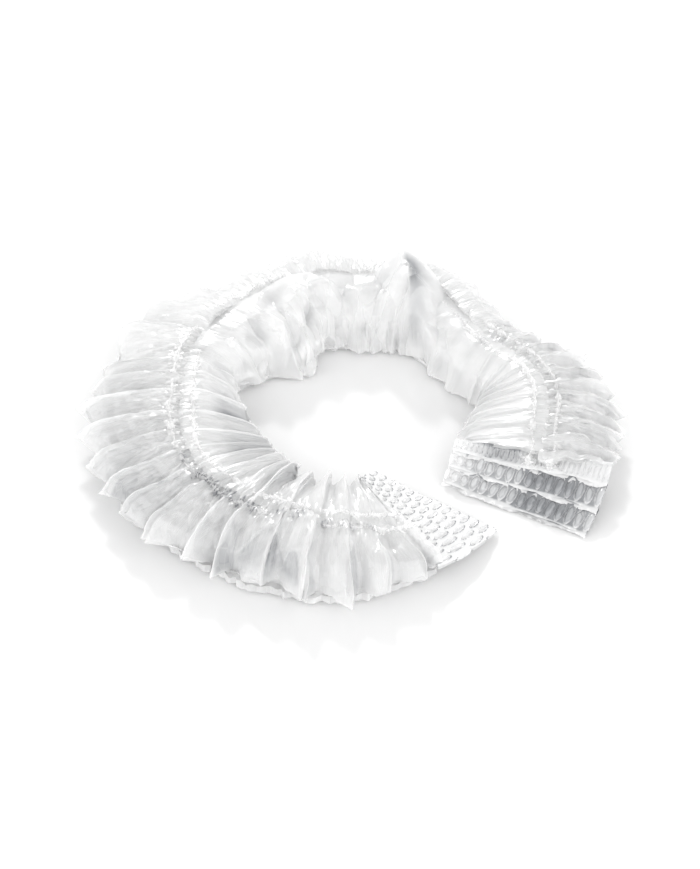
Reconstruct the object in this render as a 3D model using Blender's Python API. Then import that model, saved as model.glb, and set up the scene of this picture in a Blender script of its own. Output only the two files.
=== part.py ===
# A clear film shower cap in its packed form. The bag's mouth is gathered on two elastics, the bag
# is folded flat below them into a strip, both ends of the strip are crimped, and the elastics curl
# it into a C that lies on its flat underside, mouth side up.
# Metres, +Z up. The strip starts at the C's front end and runs clockwise, seen from above. Across
# the strip, the outer side is positive and the inner side negative.

import math
from collections import namedtuple

import bmesh
import bpy

MM = 0.001

# The C that the mouth line follows
RING_RADIUS = 46.7 * MM
START_ANGLE = -57.0  # degrees, where the front end lies, from +X
TOTAL_TURN = 341.0  # degrees, clockwise from the front end's edge to the right end's

# The strip across
HALF_WIDTH = 20.0 * MM  # from the mouth line to a lip
RIDGE_HEIGHT = 13.0 * MM  # of the film under the elastics
MOUTH_GAP = 2.4 * MM  # slot between the two gathered edges
SEAT_WIDTH = 3.2 * MM  # level band of film that each elastic lies on
TUCK_SHARE = 0.27  # of a side's reach that is folded in between its two folds
OUTER_HEM_SHARE = 0.86  # of the outer reach, where the lower fold ends, inside the lip
INNER_HEM_SHARE = 0.96
FILM_WALL = 1.0 * MM  # one wall stands for the real film's many thin plies
PLY_GAP = 0.6 * MM  # air between two walls of a fold
LIP_RISE = 0.8 * MM  # of the lips above the tuck
BILLOW = 5.0 * MM  # how far a slack side swells up

# The pleats
PLEAT_DEPTH = 1.7 * MM  # of a crest above the middle of the pleat's side
PLEAT_REACH = 1.1 * MM  # of a crest's tip beyond the lip
MIDDLE_SHARE = 0.32  # where a pleat's long side bends, between its crest and the next
MIDDLE_FOLD = 0.1
VALLEY_SHARE = 0.70
TURNING_PLACE = 0.165  # share of the strip's length, beyond which the pleats lie the other way

# The elastics
ELASTIC_RADIUS = 1.25 * MM
GATHER_RIPPLE = 0.22 * MM  # how far the gathers swell the hem
GATHER_PITCH = 2.5 * MM
CLEARANCE = 0.3 * MM  # between pieces that touch on the real cap

# The crimped ends
FRONT_SEAL_LENGTH = 15.0 * MM
RIGHT_SEAL_LENGTH = 13.5 * MM
SEAL_HEIGHT = 8.0 * MM
CRIMP_PITCH = 2.8 * MM  # from one embossed oval to the next, across the strip
CRIMP_RELIEF = 0.45 * MM
RISER = 0.4 * MM  # length of the slope from one step of a seal to the next
FRONT_SEAL_LIFT = 5.5 * MM  # of the front seal's inner corner, which stands off the floor

# The route: how far it has turned, as a share of TOTAL_TURN, and its distance from the C's
# centre, as a share of RING_RADIUS
Bend = namedtuple("Bend", "turn radius")
ROUTE = (
    Bend(0.00, 0.800),
    Bend(0.07, 0.985),
    Bend(0.16, 1.030),
    Bend(0.25, 1.000),
    Bend(0.36, 0.920),
    Bend(0.47, 1.000),
    Bend(0.58, 1.070),
    Bend(0.68, 1.050),
    Bend(0.75, 0.895),
    Bend(0.785, 0.865),
    Bend(0.85, 0.965),
    Bend(0.92, 0.985),
    Bend(1.00, 1.040),
)

# The strip's sections. at: share of the strip's length. The rest are shares of the sizes above:
# outer and inner of HALF_WIDTH, ridge of RIDGE_HEIGHT, outer_lip and
# inner_lip of LIP_RISE, depth of PLEAT_DEPTH, outer_slack and inner_slack of BILLOW
Section = namedtuple(
    "Section", "at outer inner ridge outer_lip inner_lip depth outer_slack inner_slack"
)
SECTIONS = (
    Section(0.000, 0.67, 0.95, 0.60, 0.0, 3.0, 0.50, 0.0, 0.0),
    Section(0.055, 0.65, 0.94, 0.66, 0.0, 3.5, 0.60, 0.0, 0.0),
    Section(0.110, 0.82, 0.93, 0.95, 0.3, 4.5, 1.00, 0.1, 0.1),
    Section(0.175, 0.80, 0.88, 1.00, 0.5, 5.0, 1.15, 0.1, 0.2),
    Section(0.225, 0.88, 0.98, 1.00, 1.0, 4.0, 1.00, 0.0, 0.1),
    Section(0.305, 1.02, 0.99, 1.00, 1.5, 1.0, 1.00, 0.0, 0.0),
    Section(0.360, 1.12, 0.76, 1.00, 1.5, 1.0, 1.00, 0.0, 0.0),
    Section(0.415, 1.03, 0.58, 1.00, 1.5, 1.0, 1.00, 0.0, 0.0),
    Section(0.465, 1.12, 0.78, 1.00, 1.5, 1.0, 1.00, 0.0, 0.2),
    Section(0.520, 0.78, 1.10, 1.00, 1.5, 1.0, 0.90, 0.2, 0.5),
    Section(0.575, 0.86, 0.78, 1.00, 1.5, 1.0, 0.90, 0.3, 0.5),
    Section(0.635, 0.60, 0.84, 1.00, 1.5, 1.0, 0.90, 0.2, 0.4),
    Section(0.685, 0.66, 0.74, 1.00, 1.0, 1.0, 0.80, 0.1, 0.6),
    Section(0.750, 0.55, 0.62, 0.98, 1.0, 1.0, 0.80, 0.0, 0.1),
    Section(0.800, 0.60, 0.58, 0.96, 1.0, 1.0, 0.90, 0.0, 0.0),
    Section(0.850, 0.76, 0.80, 0.96, 1.0, 1.0, 1.00, 0.0, 0.0),
    Section(0.900, 0.84, 0.97, 0.95, 1.0, 1.0, 1.00, 0.0, 0.0),
    Section(0.950, 0.82, 1.02, 0.75, 0.5, 0.5, 0.60, 0.0, 0.0),
    Section(1.000, 0.85, 1.06, 0.66, 0.0, 0.0, 0.50, 0.0, 0.0),
)

# The pleats. crest: share of the strip's length; size: its depth and reach, as a share of theirs
Pleat = namedtuple("Pleat", "crest size")
PLEATS = (
    Pleat(0.066, 0.9),
    Pleat(0.085, 1.0),
    Pleat(0.107, 1.3),
    Pleat(0.132, 1.3),
    Pleat(0.158, 0.7),
    Pleat(0.189, 1.2),
    Pleat(0.207, 0.8),
    Pleat(0.235, 1.1),
    Pleat(0.256, 1.0),
    Pleat(0.278, 1.0),
    Pleat(0.303, 1.1),
    Pleat(0.331, 1.2),
    Pleat(0.361, 1.2),
    Pleat(0.388, 0.9),
    Pleat(0.407, 0.8),
    Pleat(0.450, 1.3),
    Pleat(0.474, 0.9),
    Pleat(0.503, 1.2),
    Pleat(0.540, 0.9),
    Pleat(0.572, 1.2),
    Pleat(0.610, 1.0),
    Pleat(0.645, 1.3),
    Pleat(0.683, 0.8),
    Pleat(0.716, 1.1),
    Pleat(0.742, 0.8),
    Pleat(0.766, 1.0),
    Pleat(0.786, 0.8),
    Pleat(0.806, 1.0),
    Pleat(0.824, 0.9),
    Pleat(0.841, 1.2),
    Pleat(0.857, 0.9),
    Pleat(0.873, 1.1),
    Pleat(0.889, 1.0),
    Pleat(0.905, 0.8),
    Pleat(0.921, 1.2),
    Pleat(0.939, 0.9),
)

# Single folds that stand above the rest. side: outer or inner; at and spread: shares of the
# strip's length; rise: share of RIDGE_HEIGHT; lean: how far the fold's foot lies further along
# than its top, as a share of the strip's length
Peak = namedtuple("Peak", "side at spread rise lean")
PEAKS = (
    Peak("inner", 0.665, 0.030, 0.80, 0.045),
    Peak("inner", 0.560, 0.035, 0.16, 0.010),
    Peak("outer", 0.140, 0.016, 0.14, 0.000),
    Peak("outer", 0.470, 0.020, 0.20, 0.000),
    Peak("outer", 0.588, 0.022, 0.22, 0.000),
)

# A seal's steps, from the strip's end inwards: where each ends as a share of the seal's length,
# and its height as a share of SEAL_HEIGHT
Step = namedtuple("Step", "until height")
FRONT_STEPS = (Step(0.28, 0.16), Step(0.52, 0.30), Step(0.76, 0.44), Step(1.00, 0.58))
RIGHT_STEPS = (Step(0.40, 0.38), Step(0.74, 0.70), Step(1.00, 1.00))

# Worked out from the sizes above
PLY_STEP = FILM_WALL + PLY_GAP  # from the middle of one wall to the next
HEM_HEIGHT = FILM_WALL / 2 + PLY_STEP  # the middle of the fold's wall that lies on the underside
TUCK_HEIGHT = HEM_HEIGHT + PLY_STEP
SEAT_EDGE = MOUTH_GAP / 2 + SEAT_WIDTH


def smooth_between(rows, field, at, key):
    """Reads one column of a table at a place, along a smooth curve through its rows."""
    places = [getattr(row, key) for row in rows]
    values = [getattr(row, field) for row in rows]
    last = len(rows) - 1
    here = max(i for i in range(last) if places[i] <= at or i == 0)
    before, after = max(here - 1, 0), min(here + 2, last)
    gap = places[here + 1] - places[here]
    slope = (values[here + 1] - values[before]) / (places[here + 1] - places[before]) * gap
    next_slope = (values[after] - values[here]) / (places[after] - places[here]) * gap
    t = min(max((at - places[here]) / gap, 0.0), 1.0)
    return (
        (2 * t**3 - 3 * t**2 + 1) * values[here]
        + (t**3 - 2 * t**2 + t) * slope
        + (3 * t**2 - 2 * t**3) * values[here + 1]
        + (t**3 - t**2) * next_slope
    )


def route_point(turn):
    angle = math.radians(START_ANGLE - turn * TOTAL_TURN)
    radius = RING_RADIUS * smooth_between(ROUTE, "radius", turn, "turn")
    return radius * math.cos(angle), radius * math.sin(angle)


class Route:
    """The mouth line, measured along its length."""

    SAMPLES = 720

    def __init__(self):
        self.points = [route_point(i / self.SAMPLES) for i in range(self.SAMPLES + 1)]
        self.reached = [0.0]
        for a, b in zip(self.points, self.points[1:]):
            self.reached.append(self.reached[-1] + math.dist(a, b))
        self.length = self.reached[-1]

    def frame(self, at):
        """The mouth line's point at a share of its length, and the way outwards there."""
        distance = min(max(at, 0.0), 1.0) * self.length
        i = min(max(k for k, r in enumerate(self.reached) if r <= distance), self.SAMPLES - 1)
        part = (distance - self.reached[i]) / (self.reached[i + 1] - self.reached[i])
        (ax, ay), (bx, by) = self.points[i], self.points[i + 1]
        span = 4  # samples on each side that the direction is averaged over
        (fx, fy), (tx, ty) = (
            self.points[max(i - span, 0)],
            self.points[min(i + 1 + span, self.SAMPLES)],
        )
        size = math.hypot(tx - fx, ty - fy)
        point = ax + (bx - ax) * part, ay + (by - ay) * part
        return point, (-(ty - fy) / size, (tx - fx) / size)

    def place(self, at, across, height, onwards=0.0):
        """A point of the section at a share of the length, moved straight on by a distance."""
        (x, y), (nx, ny) = self.frame(at)
        return x + nx * across + ny * onwards, y + ny * across - nx * onwards, height


route = Route()
FILM_START = FRONT_SEAL_LENGTH / route.length
FILM_END = 1.0 - RIGHT_SEAL_LENGTH / route.length


def section_share(field, at):
    return smooth_between(SECTIONS, field, at, "at")


def peak_rise(side, at, foot):
    """How far single folds lift the film here. foot: 0 at the top of the side, 1 at the lip."""
    rise = 0.0
    for peak in PEAKS:
        away = abs(at - peak.at - peak.lean * foot) / peak.spread
        if peak.side == side and away < 1.0:
            rise += peak.rise * RIDGE_HEIGHT * (1.0 - away) * (1.0 - 0.55 * foot)
    return rise


def pleat_columns():
    """Where the film's columns lie: share of length, fold from -1 to 1, and the pleat's own size."""
    columns = [(FILM_START, 0.0, 1.0)]
    for pleat, following in zip(PLEATS, PLEATS[1:]):
        gap = following.crest - pleat.crest
        columns.append((pleat.crest, 1.0, pleat.size))
        if pleat.crest < TURNING_PLACE:
            columns.append((pleat.crest + MIDDLE_SHARE * gap, MIDDLE_FOLD, 1.0))
            columns.append((pleat.crest + VALLEY_SHARE * gap, -1.0, 1.0))
        else:
            columns.append((following.crest - VALLEY_SHARE * gap, -1.0, 1.0))
            columns.append((following.crest - MIDDLE_SHARE * gap, MIDDLE_FOLD, 1.0))
    columns.append((PLEATS[-1].crest, 1.0, PLEATS[-1].size))
    columns.append((FILM_END, 0.0, 1.0))
    return columns


def side_path(side, at, fold, size):
    """Half a section, from the mouth down to the underside: across and height of its wall's middle."""
    depth = PLEAT_DEPTH * section_share("depth", at) * size
    tip = PLEAT_REACH * size * (1.0 if side == "outer" else 0.55)
    reach = HALF_WIDTH * section_share(side, at)
    ridge = RIDGE_HEIGHT * section_share("ridge", at)
    slack = BILLOW * section_share(side + "_slack", at)
    lip = TUCK_HEIGHT + 0.6 * PLEAT_DEPTH + LIP_RISE * section_share(side + "_lip", at)
    top = lip + PLY_STEP
    hem = reach * (OUTER_HEM_SHARE if side == "outer" else INNER_HEM_SHARE)
    tuck = hem - TUCK_SHARE * reach

    def down(share, drop, swell, foot):
        across = SEAT_EDGE + (reach - SEAT_EDGE) * share
        height = ridge + (top - ridge) * drop + slack * swell + peak_rise(side, at, foot)
        return across, height

    shoulder = down(0.30, 0.16, 1.0, 0.2)
    flank = down(0.68, 0.55, 0.7, 0.6)
    return [
        (MOUTH_GAP / 2, ridge),
        (SEAT_EDGE, ridge),
        (shoulder[0], shoulder[1] + 0.5 * depth * fold),
        (flank[0], flank[1] + depth * fold),
        (reach + tip * fold, top + 0.6 * depth * fold),
        (reach + tip * fold, lip + 0.6 * depth * fold),
        (tuck, TUCK_HEIGHT),
        (tuck, HEM_HEIGHT),
        (hem - 0.4 * tip * fold, HEM_HEIGHT),
        (hem - 0.4 * tip * fold, FILM_WALL / 2),
    ]


def thickened(path, wall):
    """The two faces of a wall along a path: points to its left, then points to its right."""
    left, right = [], []
    for i, (x, z) in enumerate(path):
        normals = []
        for a, b in ((i - 1, i), (i, i + 1)):
            if a >= 0 and b < len(path):
                dx, dz = path[b][0] - path[a][0], path[b][1] - path[a][1]
                size = math.hypot(dx, dz)
                normals.append((-dz / size, dx / size))
        nx = sum(n[0] for n in normals)
        nz = sum(n[1] for n in normals)
        size = math.hypot(nx, nz)
        nx, nz = nx / size, nz / size
        mitre = 1.0 / (nx * normals[0][0] + nz * normals[0][1])
        left.append((x + nx * wall / 2 * mitre, z + nz * wall / 2 * mitre))
        right.append((x - nx * wall / 2 * mitre, z - nz * wall / 2 * mitre))
    return left, right


def make_material(name, colour, roughness, transmission):
    material = bpy.data.materials.new(name)
    material.use_nodes = True
    shader = material.node_tree.nodes["Principled BSDF"]
    shader.inputs["Base Color"].default_value = (*colour, 1.0)
    shader.inputs["Roughness"].default_value = roughness
    shader.inputs["Transmission Weight"].default_value = transmission
    shader.inputs["IOR"].default_value = 1.51
    material.diffuse_color = (*colour, 1.0)
    return material


def add_object(name, data, material, collection):
    piece = bpy.data.objects.new(name, data)
    data.materials.append(material)
    collection.objects.link(piece)
    return piece


def loft(name, rings):
    """One closed skin through closed rings of equal point counts, with its ends capped in strips."""
    mesh = bmesh.new()
    rows = [[mesh.verts.new(point) for point in ring] for ring in rings]
    count = len(rows[0])
    for a, b in zip(rows, rows[1:]):
        for i in range(count):
            j = (i + 1) % count
            mesh.faces.new((a[i], a[j], b[j], b[i]))
    for row in (rows[0], rows[-1]):
        for i in range(count // 2 - 1):
            mesh.faces.new((row[i], row[i + 1], row[count - 2 - i], row[count - 1 - i]))
    bmesh.ops.recalc_face_normals(mesh, faces=mesh.faces)
    data = bpy.data.meshes.new(name)
    mesh.to_mesh(data)
    mesh.free()
    return data


def make_film(material, collection):
    rings = []
    for at, fold, size in pleat_columns():
        outer = side_path("outer", at, fold, size)
        inner = [(-across, height) for across, height in side_path("inner", at, fold, size)]
        left, right = thickened(outer + inner[::-1], FILM_WALL)
        rings.append([route.place(at, *point) for point in left + right[::-1]])
    return add_object("film", loft("film", rings), material, collection)


def make_elastic(name, side, material, collection):
    """A gathered hem: a tube along the film's seat whose girth swells and shrinks."""
    count = 2 * round((FILM_END - FILM_START) * route.length / (2 * GATHER_PITCH))
    curve = bpy.data.curves.new(name, "CURVE")
    curve.dimensions = "3D"
    curve.bevel_depth = ELASTIC_RADIUS
    curve.bevel_resolution = 1
    curve.use_fill_caps = True
    spline = curve.splines.new("POLY")
    spline.points.add(count)
    largest = ELASTIC_RADIUS + GATHER_RIPPLE
    for i, point in enumerate(spline.points):
        at = FILM_START + (FILM_END - FILM_START) * i / count
        seat = RIDGE_HEIGHT * section_share("ridge", at) + FILM_WALL / 2
        across = side * (MOUTH_GAP / 2 + SEAT_WIDTH / 2)
        point.co = (*route.place(at, across, seat + CLEARANCE + largest), 1.0)
        point.radius = 1.0 + (GATHER_RIPPLE / ELASTIC_RADIUS) * (1 if i % 2 else -1)
    return add_object(name, curve, material, collection)


def make_seal(name, end, inwards, length, steps, lift, material, collection):
    """A crimped end: plies pressed solid in steps, with the rows of embossed ovals as ribs."""
    outer = HALF_WIDTH * section_share("outer", end)
    inner = HALF_WIDTH * section_share("inner", end)
    count = 2 * round((outer + inner) / (2 * CRIMP_PITCH)) * 2
    clear = -inwards * CLEARANCE
    stops = []
    begin = 0.0
    for step in steps:
        stops.append((begin, step.height))
        stops.append((step.until * length - RISER * (step.until < 1.0), step.height))
        begin = step.until * length
    rings = []
    for distance, height in stops:
        at = end + inwards * distance / route.length
        top, bottom = [], []
        for i in range(count + 1):
            across = -inner + (outer + inner) * i / count
            rib = CRIMP_RELIEF if i % 2 else 0.0
            floor = lift * (1.0 - i / count)
            top.append(route.place(at, across, floor + SEAL_HEIGHT * height + rib, clear))
            bottom.append(route.place(at, across, floor, clear))
        rings.append(top + bottom[::-1])
    return add_object(name, loft(name, rings), material, collection)


def centre_on_floor(pieces):
    """Moves the pieces together: the floor's point under the middle of their box is the origin."""
    bpy.context.view_layer.update()
    meshes = [piece for piece in pieces if piece.type == "MESH"]
    corners = [piece.matrix_world @ v.co for piece in meshes for v in piece.data.vertices]
    low = [min(c[i] for c in corners) for i in range(3)]
    high = [max(c[i] for c in corners) for i in range(3)]
    for piece in pieces:
        piece.location = (-(low[0] + high[0]) / 2, -(low[1] + high[1]) / 2, -low[2])


def main():
    for old in list(bpy.data.objects):
        bpy.data.objects.remove(old)
    collection = bpy.data.collections.new("shower_cap")
    bpy.context.scene.collection.children.link(collection)
    clear_film = make_material("clear_film", (0.93, 0.94, 0.95), 0.15, 0.8)
    crimped_film = make_material("crimped_film", (0.78, 0.80, 0.81), 0.25, 0.4)
    white_elastic = make_material("white_elastic", (0.90, 0.91, 0.91), 0.5, 0.0)
    front = "end_seal_front", 0.0, 1, FRONT_SEAL_LENGTH, FRONT_STEPS, FRONT_SEAL_LIFT
    right = "end_seal_right", 1.0, -1, RIGHT_SEAL_LENGTH, RIGHT_STEPS, 0.0
    pieces = [
        make_film(clear_film, collection),
        make_elastic("elastic_outer", 1, white_elastic, collection),
        make_elastic("elastic_inner", -1, white_elastic, collection),
        make_seal(*front, crimped_film, collection),
        make_seal(*right, crimped_film, collection),
    ]
    centre_on_floor(pieces)


main()
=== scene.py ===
import functools
import math
import random

import bpy
import numpy as np
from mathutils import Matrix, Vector


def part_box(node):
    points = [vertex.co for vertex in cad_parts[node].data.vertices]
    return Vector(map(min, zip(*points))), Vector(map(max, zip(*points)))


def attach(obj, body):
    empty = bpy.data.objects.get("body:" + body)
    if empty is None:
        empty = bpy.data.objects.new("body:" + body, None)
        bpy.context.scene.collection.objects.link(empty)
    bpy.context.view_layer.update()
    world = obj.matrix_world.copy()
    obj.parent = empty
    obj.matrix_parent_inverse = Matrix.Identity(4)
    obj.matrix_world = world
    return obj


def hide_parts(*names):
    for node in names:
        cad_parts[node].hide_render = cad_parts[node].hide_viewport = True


# The looks of a clear film shower cap in its packed form: a C-shaped strip of gathered film that
# lies on a white floor, mouth side up. Across the strip the outer side is positive and the inner
# side negative. Along it, 0 is the front end and 1 the right end.
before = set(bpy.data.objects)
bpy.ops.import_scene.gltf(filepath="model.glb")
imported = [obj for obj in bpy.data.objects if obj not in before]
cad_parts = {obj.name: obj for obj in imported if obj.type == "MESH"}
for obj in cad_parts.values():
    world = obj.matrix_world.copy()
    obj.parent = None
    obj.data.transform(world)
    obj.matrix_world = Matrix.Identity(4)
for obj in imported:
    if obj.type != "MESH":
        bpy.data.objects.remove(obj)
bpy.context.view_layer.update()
mm = 0.001

strip = {
    "ringRadius": 46.7 * mm,
    "startAngle": -57.0,  # degrees, where the front end lies, from +X
    "totalTurn": 341.0,  # degrees, clockwise seen from above
    "halfWidth": 20.0 * mm,
    "ridgeHeight": 13.0 * mm,  # of the film under the elastics
    "mouthGap": 2.4 * mm,
    "seatWidth": 3.2 * mm,  # the band of film under each elastic
    "tuckShare": 0.27,  # of a side's reach that is folded in between its two folds
    "wall": 1.0 * mm,  # of the solid, which stands for many thin plies
    "plyStep": 1.6 * mm,  # from one fold of the solid to the next
    "lipRise": 0.8 * mm,
    "billow": 5.0 * mm,
    "pleatDepth": 1.7 * mm,
    "pleatReach": 1.1 * mm,
    "turningPlace": 0.165,  # beyond it the pleats lie the other way
    "frontSeal": 15.0 * mm,
    "rightSeal": 13.5 * mm,
}

# How far the mouth line has turned, as a share of totalTurn, and its distance from the C's
# centre, as a share of ringRadius
routeRows = (
    (0.00, 0.800), (0.07, 0.985), (0.16, 1.030), (0.25, 1.000), (0.36, 0.920), (0.47, 1.000),
    (0.58, 1.070), (0.68, 1.050), (0.75, 0.895), (0.785, 0.865), (0.85, 0.965), (0.92, 0.985),
    (1.00, 1.040),
)

# The strip's sections, as shares of the sizes above, at shares of its length
sectionNames = (
    "at", "outer", "inner", "ridge", "outerLip", "innerLip", "depth", "outerSlack", "innerSlack",
)
sectionRows = (
    (0.000, 0.67, 0.95, 0.60, 0.0, 3.0, 0.50, 0.0, 0.0),
    (0.055, 0.65, 0.94, 0.66, 0.0, 3.5, 0.60, 0.0, 0.0),
    (0.110, 0.82, 0.93, 0.95, 0.3, 4.5, 1.00, 0.1, 0.1),
    (0.175, 0.80, 0.88, 1.00, 0.5, 5.0, 1.15, 0.1, 0.2),
    (0.225, 0.88, 0.98, 1.00, 1.0, 4.0, 1.00, 0.0, 0.1),
    (0.305, 1.02, 0.99, 1.00, 1.5, 1.0, 1.00, 0.0, 0.0),
    (0.360, 1.12, 0.76, 1.00, 1.5, 1.0, 1.00, 0.0, 0.0),
    (0.415, 1.03, 0.58, 1.00, 1.5, 1.0, 1.00, 0.0, 0.0),
    (0.465, 1.12, 0.78, 1.00, 1.5, 1.0, 1.00, 0.0, 0.2),
    (0.520, 0.78, 1.10, 1.00, 1.5, 1.0, 0.90, 0.2, 0.5),
    (0.575, 0.86, 0.78, 1.00, 1.5, 1.0, 0.90, 0.3, 0.5),
    (0.635, 0.60, 0.84, 1.00, 1.5, 1.0, 0.90, 0.2, 0.4),
    (0.685, 0.66, 0.74, 1.00, 1.0, 1.0, 0.80, 0.1, 0.6),
    (0.750, 0.55, 0.62, 0.98, 1.0, 1.0, 0.80, 0.0, 0.1),
    (0.800, 0.60, 0.58, 0.96, 1.0, 1.0, 0.90, 0.0, 0.0),
    (0.850, 0.76, 0.80, 0.96, 1.0, 1.0, 1.00, 0.0, 0.0),
    (0.900, 0.84, 0.97, 0.95, 1.0, 1.0, 1.00, 0.0, 0.0),
    (0.950, 0.82, 1.02, 0.75, 0.5, 0.5, 0.60, 0.0, 0.0),
    (1.000, 0.85, 1.06, 0.66, 0.0, 0.0, 0.50, 0.0, 0.0),
)

# The pleats: where each crest lies along the strip, and its size
pleatRows = (
    (0.066, 0.9), (0.085, 1.0), (0.107, 1.3), (0.132, 1.3), (0.158, 0.7), (0.189, 1.2),
    (0.207, 0.8), (0.235, 1.1), (0.256, 1.0), (0.278, 1.0), (0.303, 1.1), (0.331, 1.2),
    (0.361, 1.2), (0.388, 0.9), (0.407, 0.8), (0.450, 1.3), (0.474, 0.9), (0.503, 1.2),
    (0.540, 0.9), (0.572, 1.2), (0.610, 1.0), (0.645, 1.3), (0.683, 0.8), (0.716, 1.1),
    (0.742, 0.8), (0.766, 1.0), (0.786, 0.8), (0.806, 1.0), (0.824, 0.9), (0.841, 1.2),
    (0.857, 0.9), (0.873, 1.1), (0.889, 1.0), (0.905, 0.8), (0.921, 1.2), (0.939, 0.9),
)

# Single folds that stand above the rest: side, place and spread along the strip, rise as a share
# of ridgeHeight, and how far the foot lies further along than the top
peakRows = (
    ("inner", 0.665, 0.030, 0.70, 0.060),
    ("outer", 0.690, 0.045, 0.26, 0.000),
    ("inner", 0.560, 0.035, 0.16, 0.010),
    ("outer", 0.140, 0.016, 0.14, 0.000),
    ("outer", 0.470, 0.020, 0.20, 0.000),
    ("outer", 0.588, 0.022, 0.22, 0.000),
)

# Three-cornered hollows in the slope: side, place and half-width along the strip, where their
# tip and their foot lie down the slope, their depth in mm and how much painted shade darkens them
dentRows = (
    ("outer", 0.163, 0.0190, 0.22, 0.80, 0.9, 0.24),
    ("outer", 0.141, 0.0095, 0.55, 0.90, 0.7, 0.32),
    ("inner", 0.525, 0.0140, 0.35, 0.75, 1.0, 0.10),
    ("inner", 0.490, 0.0120, 0.25, 0.60, 0.8, 0.12),
    ("inner", 0.757, 0.0150, 0.36, 0.66, 0.6, 0.24),
)

# Stretches of the lower plies that stick out under the lip: side, place, half-width, reach
peekRows = (
    ("outer", 0.172, 0.007, 0.9 * mm), ("inner", 0.440, 0.008, 1.0 * mm),
    ("inner", 0.480, 0.010, 1.8 * mm), ("inner", 0.530, 0.007, 1.6 * mm),
    ("inner", 0.575, 0.008, 1.8 * mm), ("inner", 0.652, 0.006, 1.5 * mm),
)

# Where many plies crowd against an elastic, with strokes of painted shade in its gathers: side,
# place, half-width, amount
crowdRows = (
    ("outer", 0.225, 0.036, 1.2), ("outer", 0.190, 0.015, 1.1), ("outer", 0.163, 0.009, 0.9),
    ("outer", 0.145, 0.007, 0.9), ("outer", 0.125, 0.008, 0.8), ("outer", 0.108, 0.008, 0.9),
    ("outer", 0.090, 0.006, 0.7), ("outer", 0.268, 0.016, 0.8), ("inner", 0.230, 0.014, 0.6),
    ("inner", 0.340, 0.020, 0.3), ("outer", 0.880, 0.020, 0.3), ("outer", 0.800, 0.012, 0.3),
    ("inner", 0.636, 0.018, 0.6), ("inner", 0.475, 0.018, 0.4), ("inner", 0.435, 0.016, 0.4),
    ("inner", 0.755, 0.014, 0.3), ("inner", 0.790, 0.012, 0.3),
)

# How the film looks along the strip. Crisp: 1 is a knife pleat, 0 a soft wave; Depth: of the
# pleats; Gather: of the fine gathers by the elastic; Crush: how crumpled; Facet: how far it stands
# in large flat facets; Shade: how much painted shade lies in its hollows, and how far its panels
# darken at random; Closed: 1 where the lip hangs to the floor, over the tuck; innerBand: how far
# the lower fold shows beyond the inner lip; Round: 1 where the slope starts flat and then falls,
# 0 where it is straight
looksNames = (
    "at", "outerCrisp", "innerCrisp", "outerDepth", "innerDepth", "outerGather", "innerGather",
    "outerCrush", "innerCrush", "outerFacet", "innerFacet", "outerShade", "innerShade",
    "outerClosed", "innerClosed", "innerBand", "outerRound", "innerRound",
)
looksRows = (
    (0.00, 0.9, 0.9, 0.9, 0.4, 0.5, 0.2, 0.35, 0.15, 0.20, 0.1, 0.08, 0.02, 0.8, 0.3, 0.0, 1.0, 0.5),
    (0.10, 1.0, 1.0, 1.0, 0.6, 0.6, 0.3, 0.40, 0.15, 0.35, 0.1, 0.10, 0.02, 0.8, 0.3, 0.0, 1.0, 0.5),
    (0.18, 1.0, 1.0, 1.0, 1.0, 0.9, 0.5, 0.55, 0.30, 0.30, 0.1, 0.12, 0.10, 0.7, 0.2, 0.3, 0.6, 0.3),
    (0.23, 1.0, 1.0, 1.1, 0.6, 1.0, 0.2, 0.85, 0.25, 0.15, 0.1, 0.20, 0.60, 0.6, 0.0, 1.0, 0.1, 0.1),
    (0.30, 1.0, 1.0, 1.2, 0.5, 1.0, 0.1, 0.95, 0.15, 0.10, 0.1, 0.26, 0.90, 0.5, 0.0, 1.0, 0.0, 0.0),
    (0.37, 1.0, 1.0, 1.2, 0.5, 1.0, 0.3, 0.70, 0.15, 0.10, 0.1, 0.08, 0.60, 0.5, 0.0, 1.0, 0.0, 0.1),
    (0.43, 0.9, 0.6, 0.8, 0.4, 0.8, 0.2, 0.45, 0.12, 0.20, 0.8, 0.02, 0.15, 0.5, 0.7, 0.4, 0.2, 0.5),
    (0.48, 0.7, 0.2, 0.5, 0.2, 0.5, 0.0, 0.30, 0.06, 0.30, 1.2, 0.00, 0.05, 0.5, 1.0, 0.0, 0.3, 0.8),
    (0.60, 0.5, 0.1, 0.4, 0.15, 0.4, 0.0, 0.25, 0.04, 0.35, 1.2, 0.00, 0.02, 0.5, 1.0, 0.0, 0.3, 0.8),
    (0.70, 0.5, 0.1, 0.4, 0.15, 0.4, 0.0, 0.25, 0.04, 0.35, 0.9, 0.00, 0.05, 0.5, 1.0, 0.0, 0.3, 0.8),
    (0.76, 0.6, 0.3, 0.7, 0.25, 0.6, 0.0, 0.45, 0.03, 0.30, 0.2, 0.00, 0.03, 0.5, 1.0, 0.0, 0.3, 0.6),
    (0.82, 0.8, 0.5, 1.0, 0.30, 0.9, 0.1, 0.70, 0.02, 0.20, 0.0, 0.02, 0.03, 0.5, 0.9, 0.0, 0.3, 0.4),
    (0.93, 0.9, 0.5, 1.0, 0.40, 1.0, 0.2, 0.90, 0.08, 0.20, 0.0, 0.04, 0.10, 0.5, 0.4, 0.0, 0.5, 0.4),
    (1.00, 0.9, 0.4, 1.0, 0.4, 1.0, 0.5, 0.90, 0.25, 0.10, 0.1, 0.04, 0.10, 0.5, 0.0, 0.0, 0.5, 0.5),
)

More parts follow.
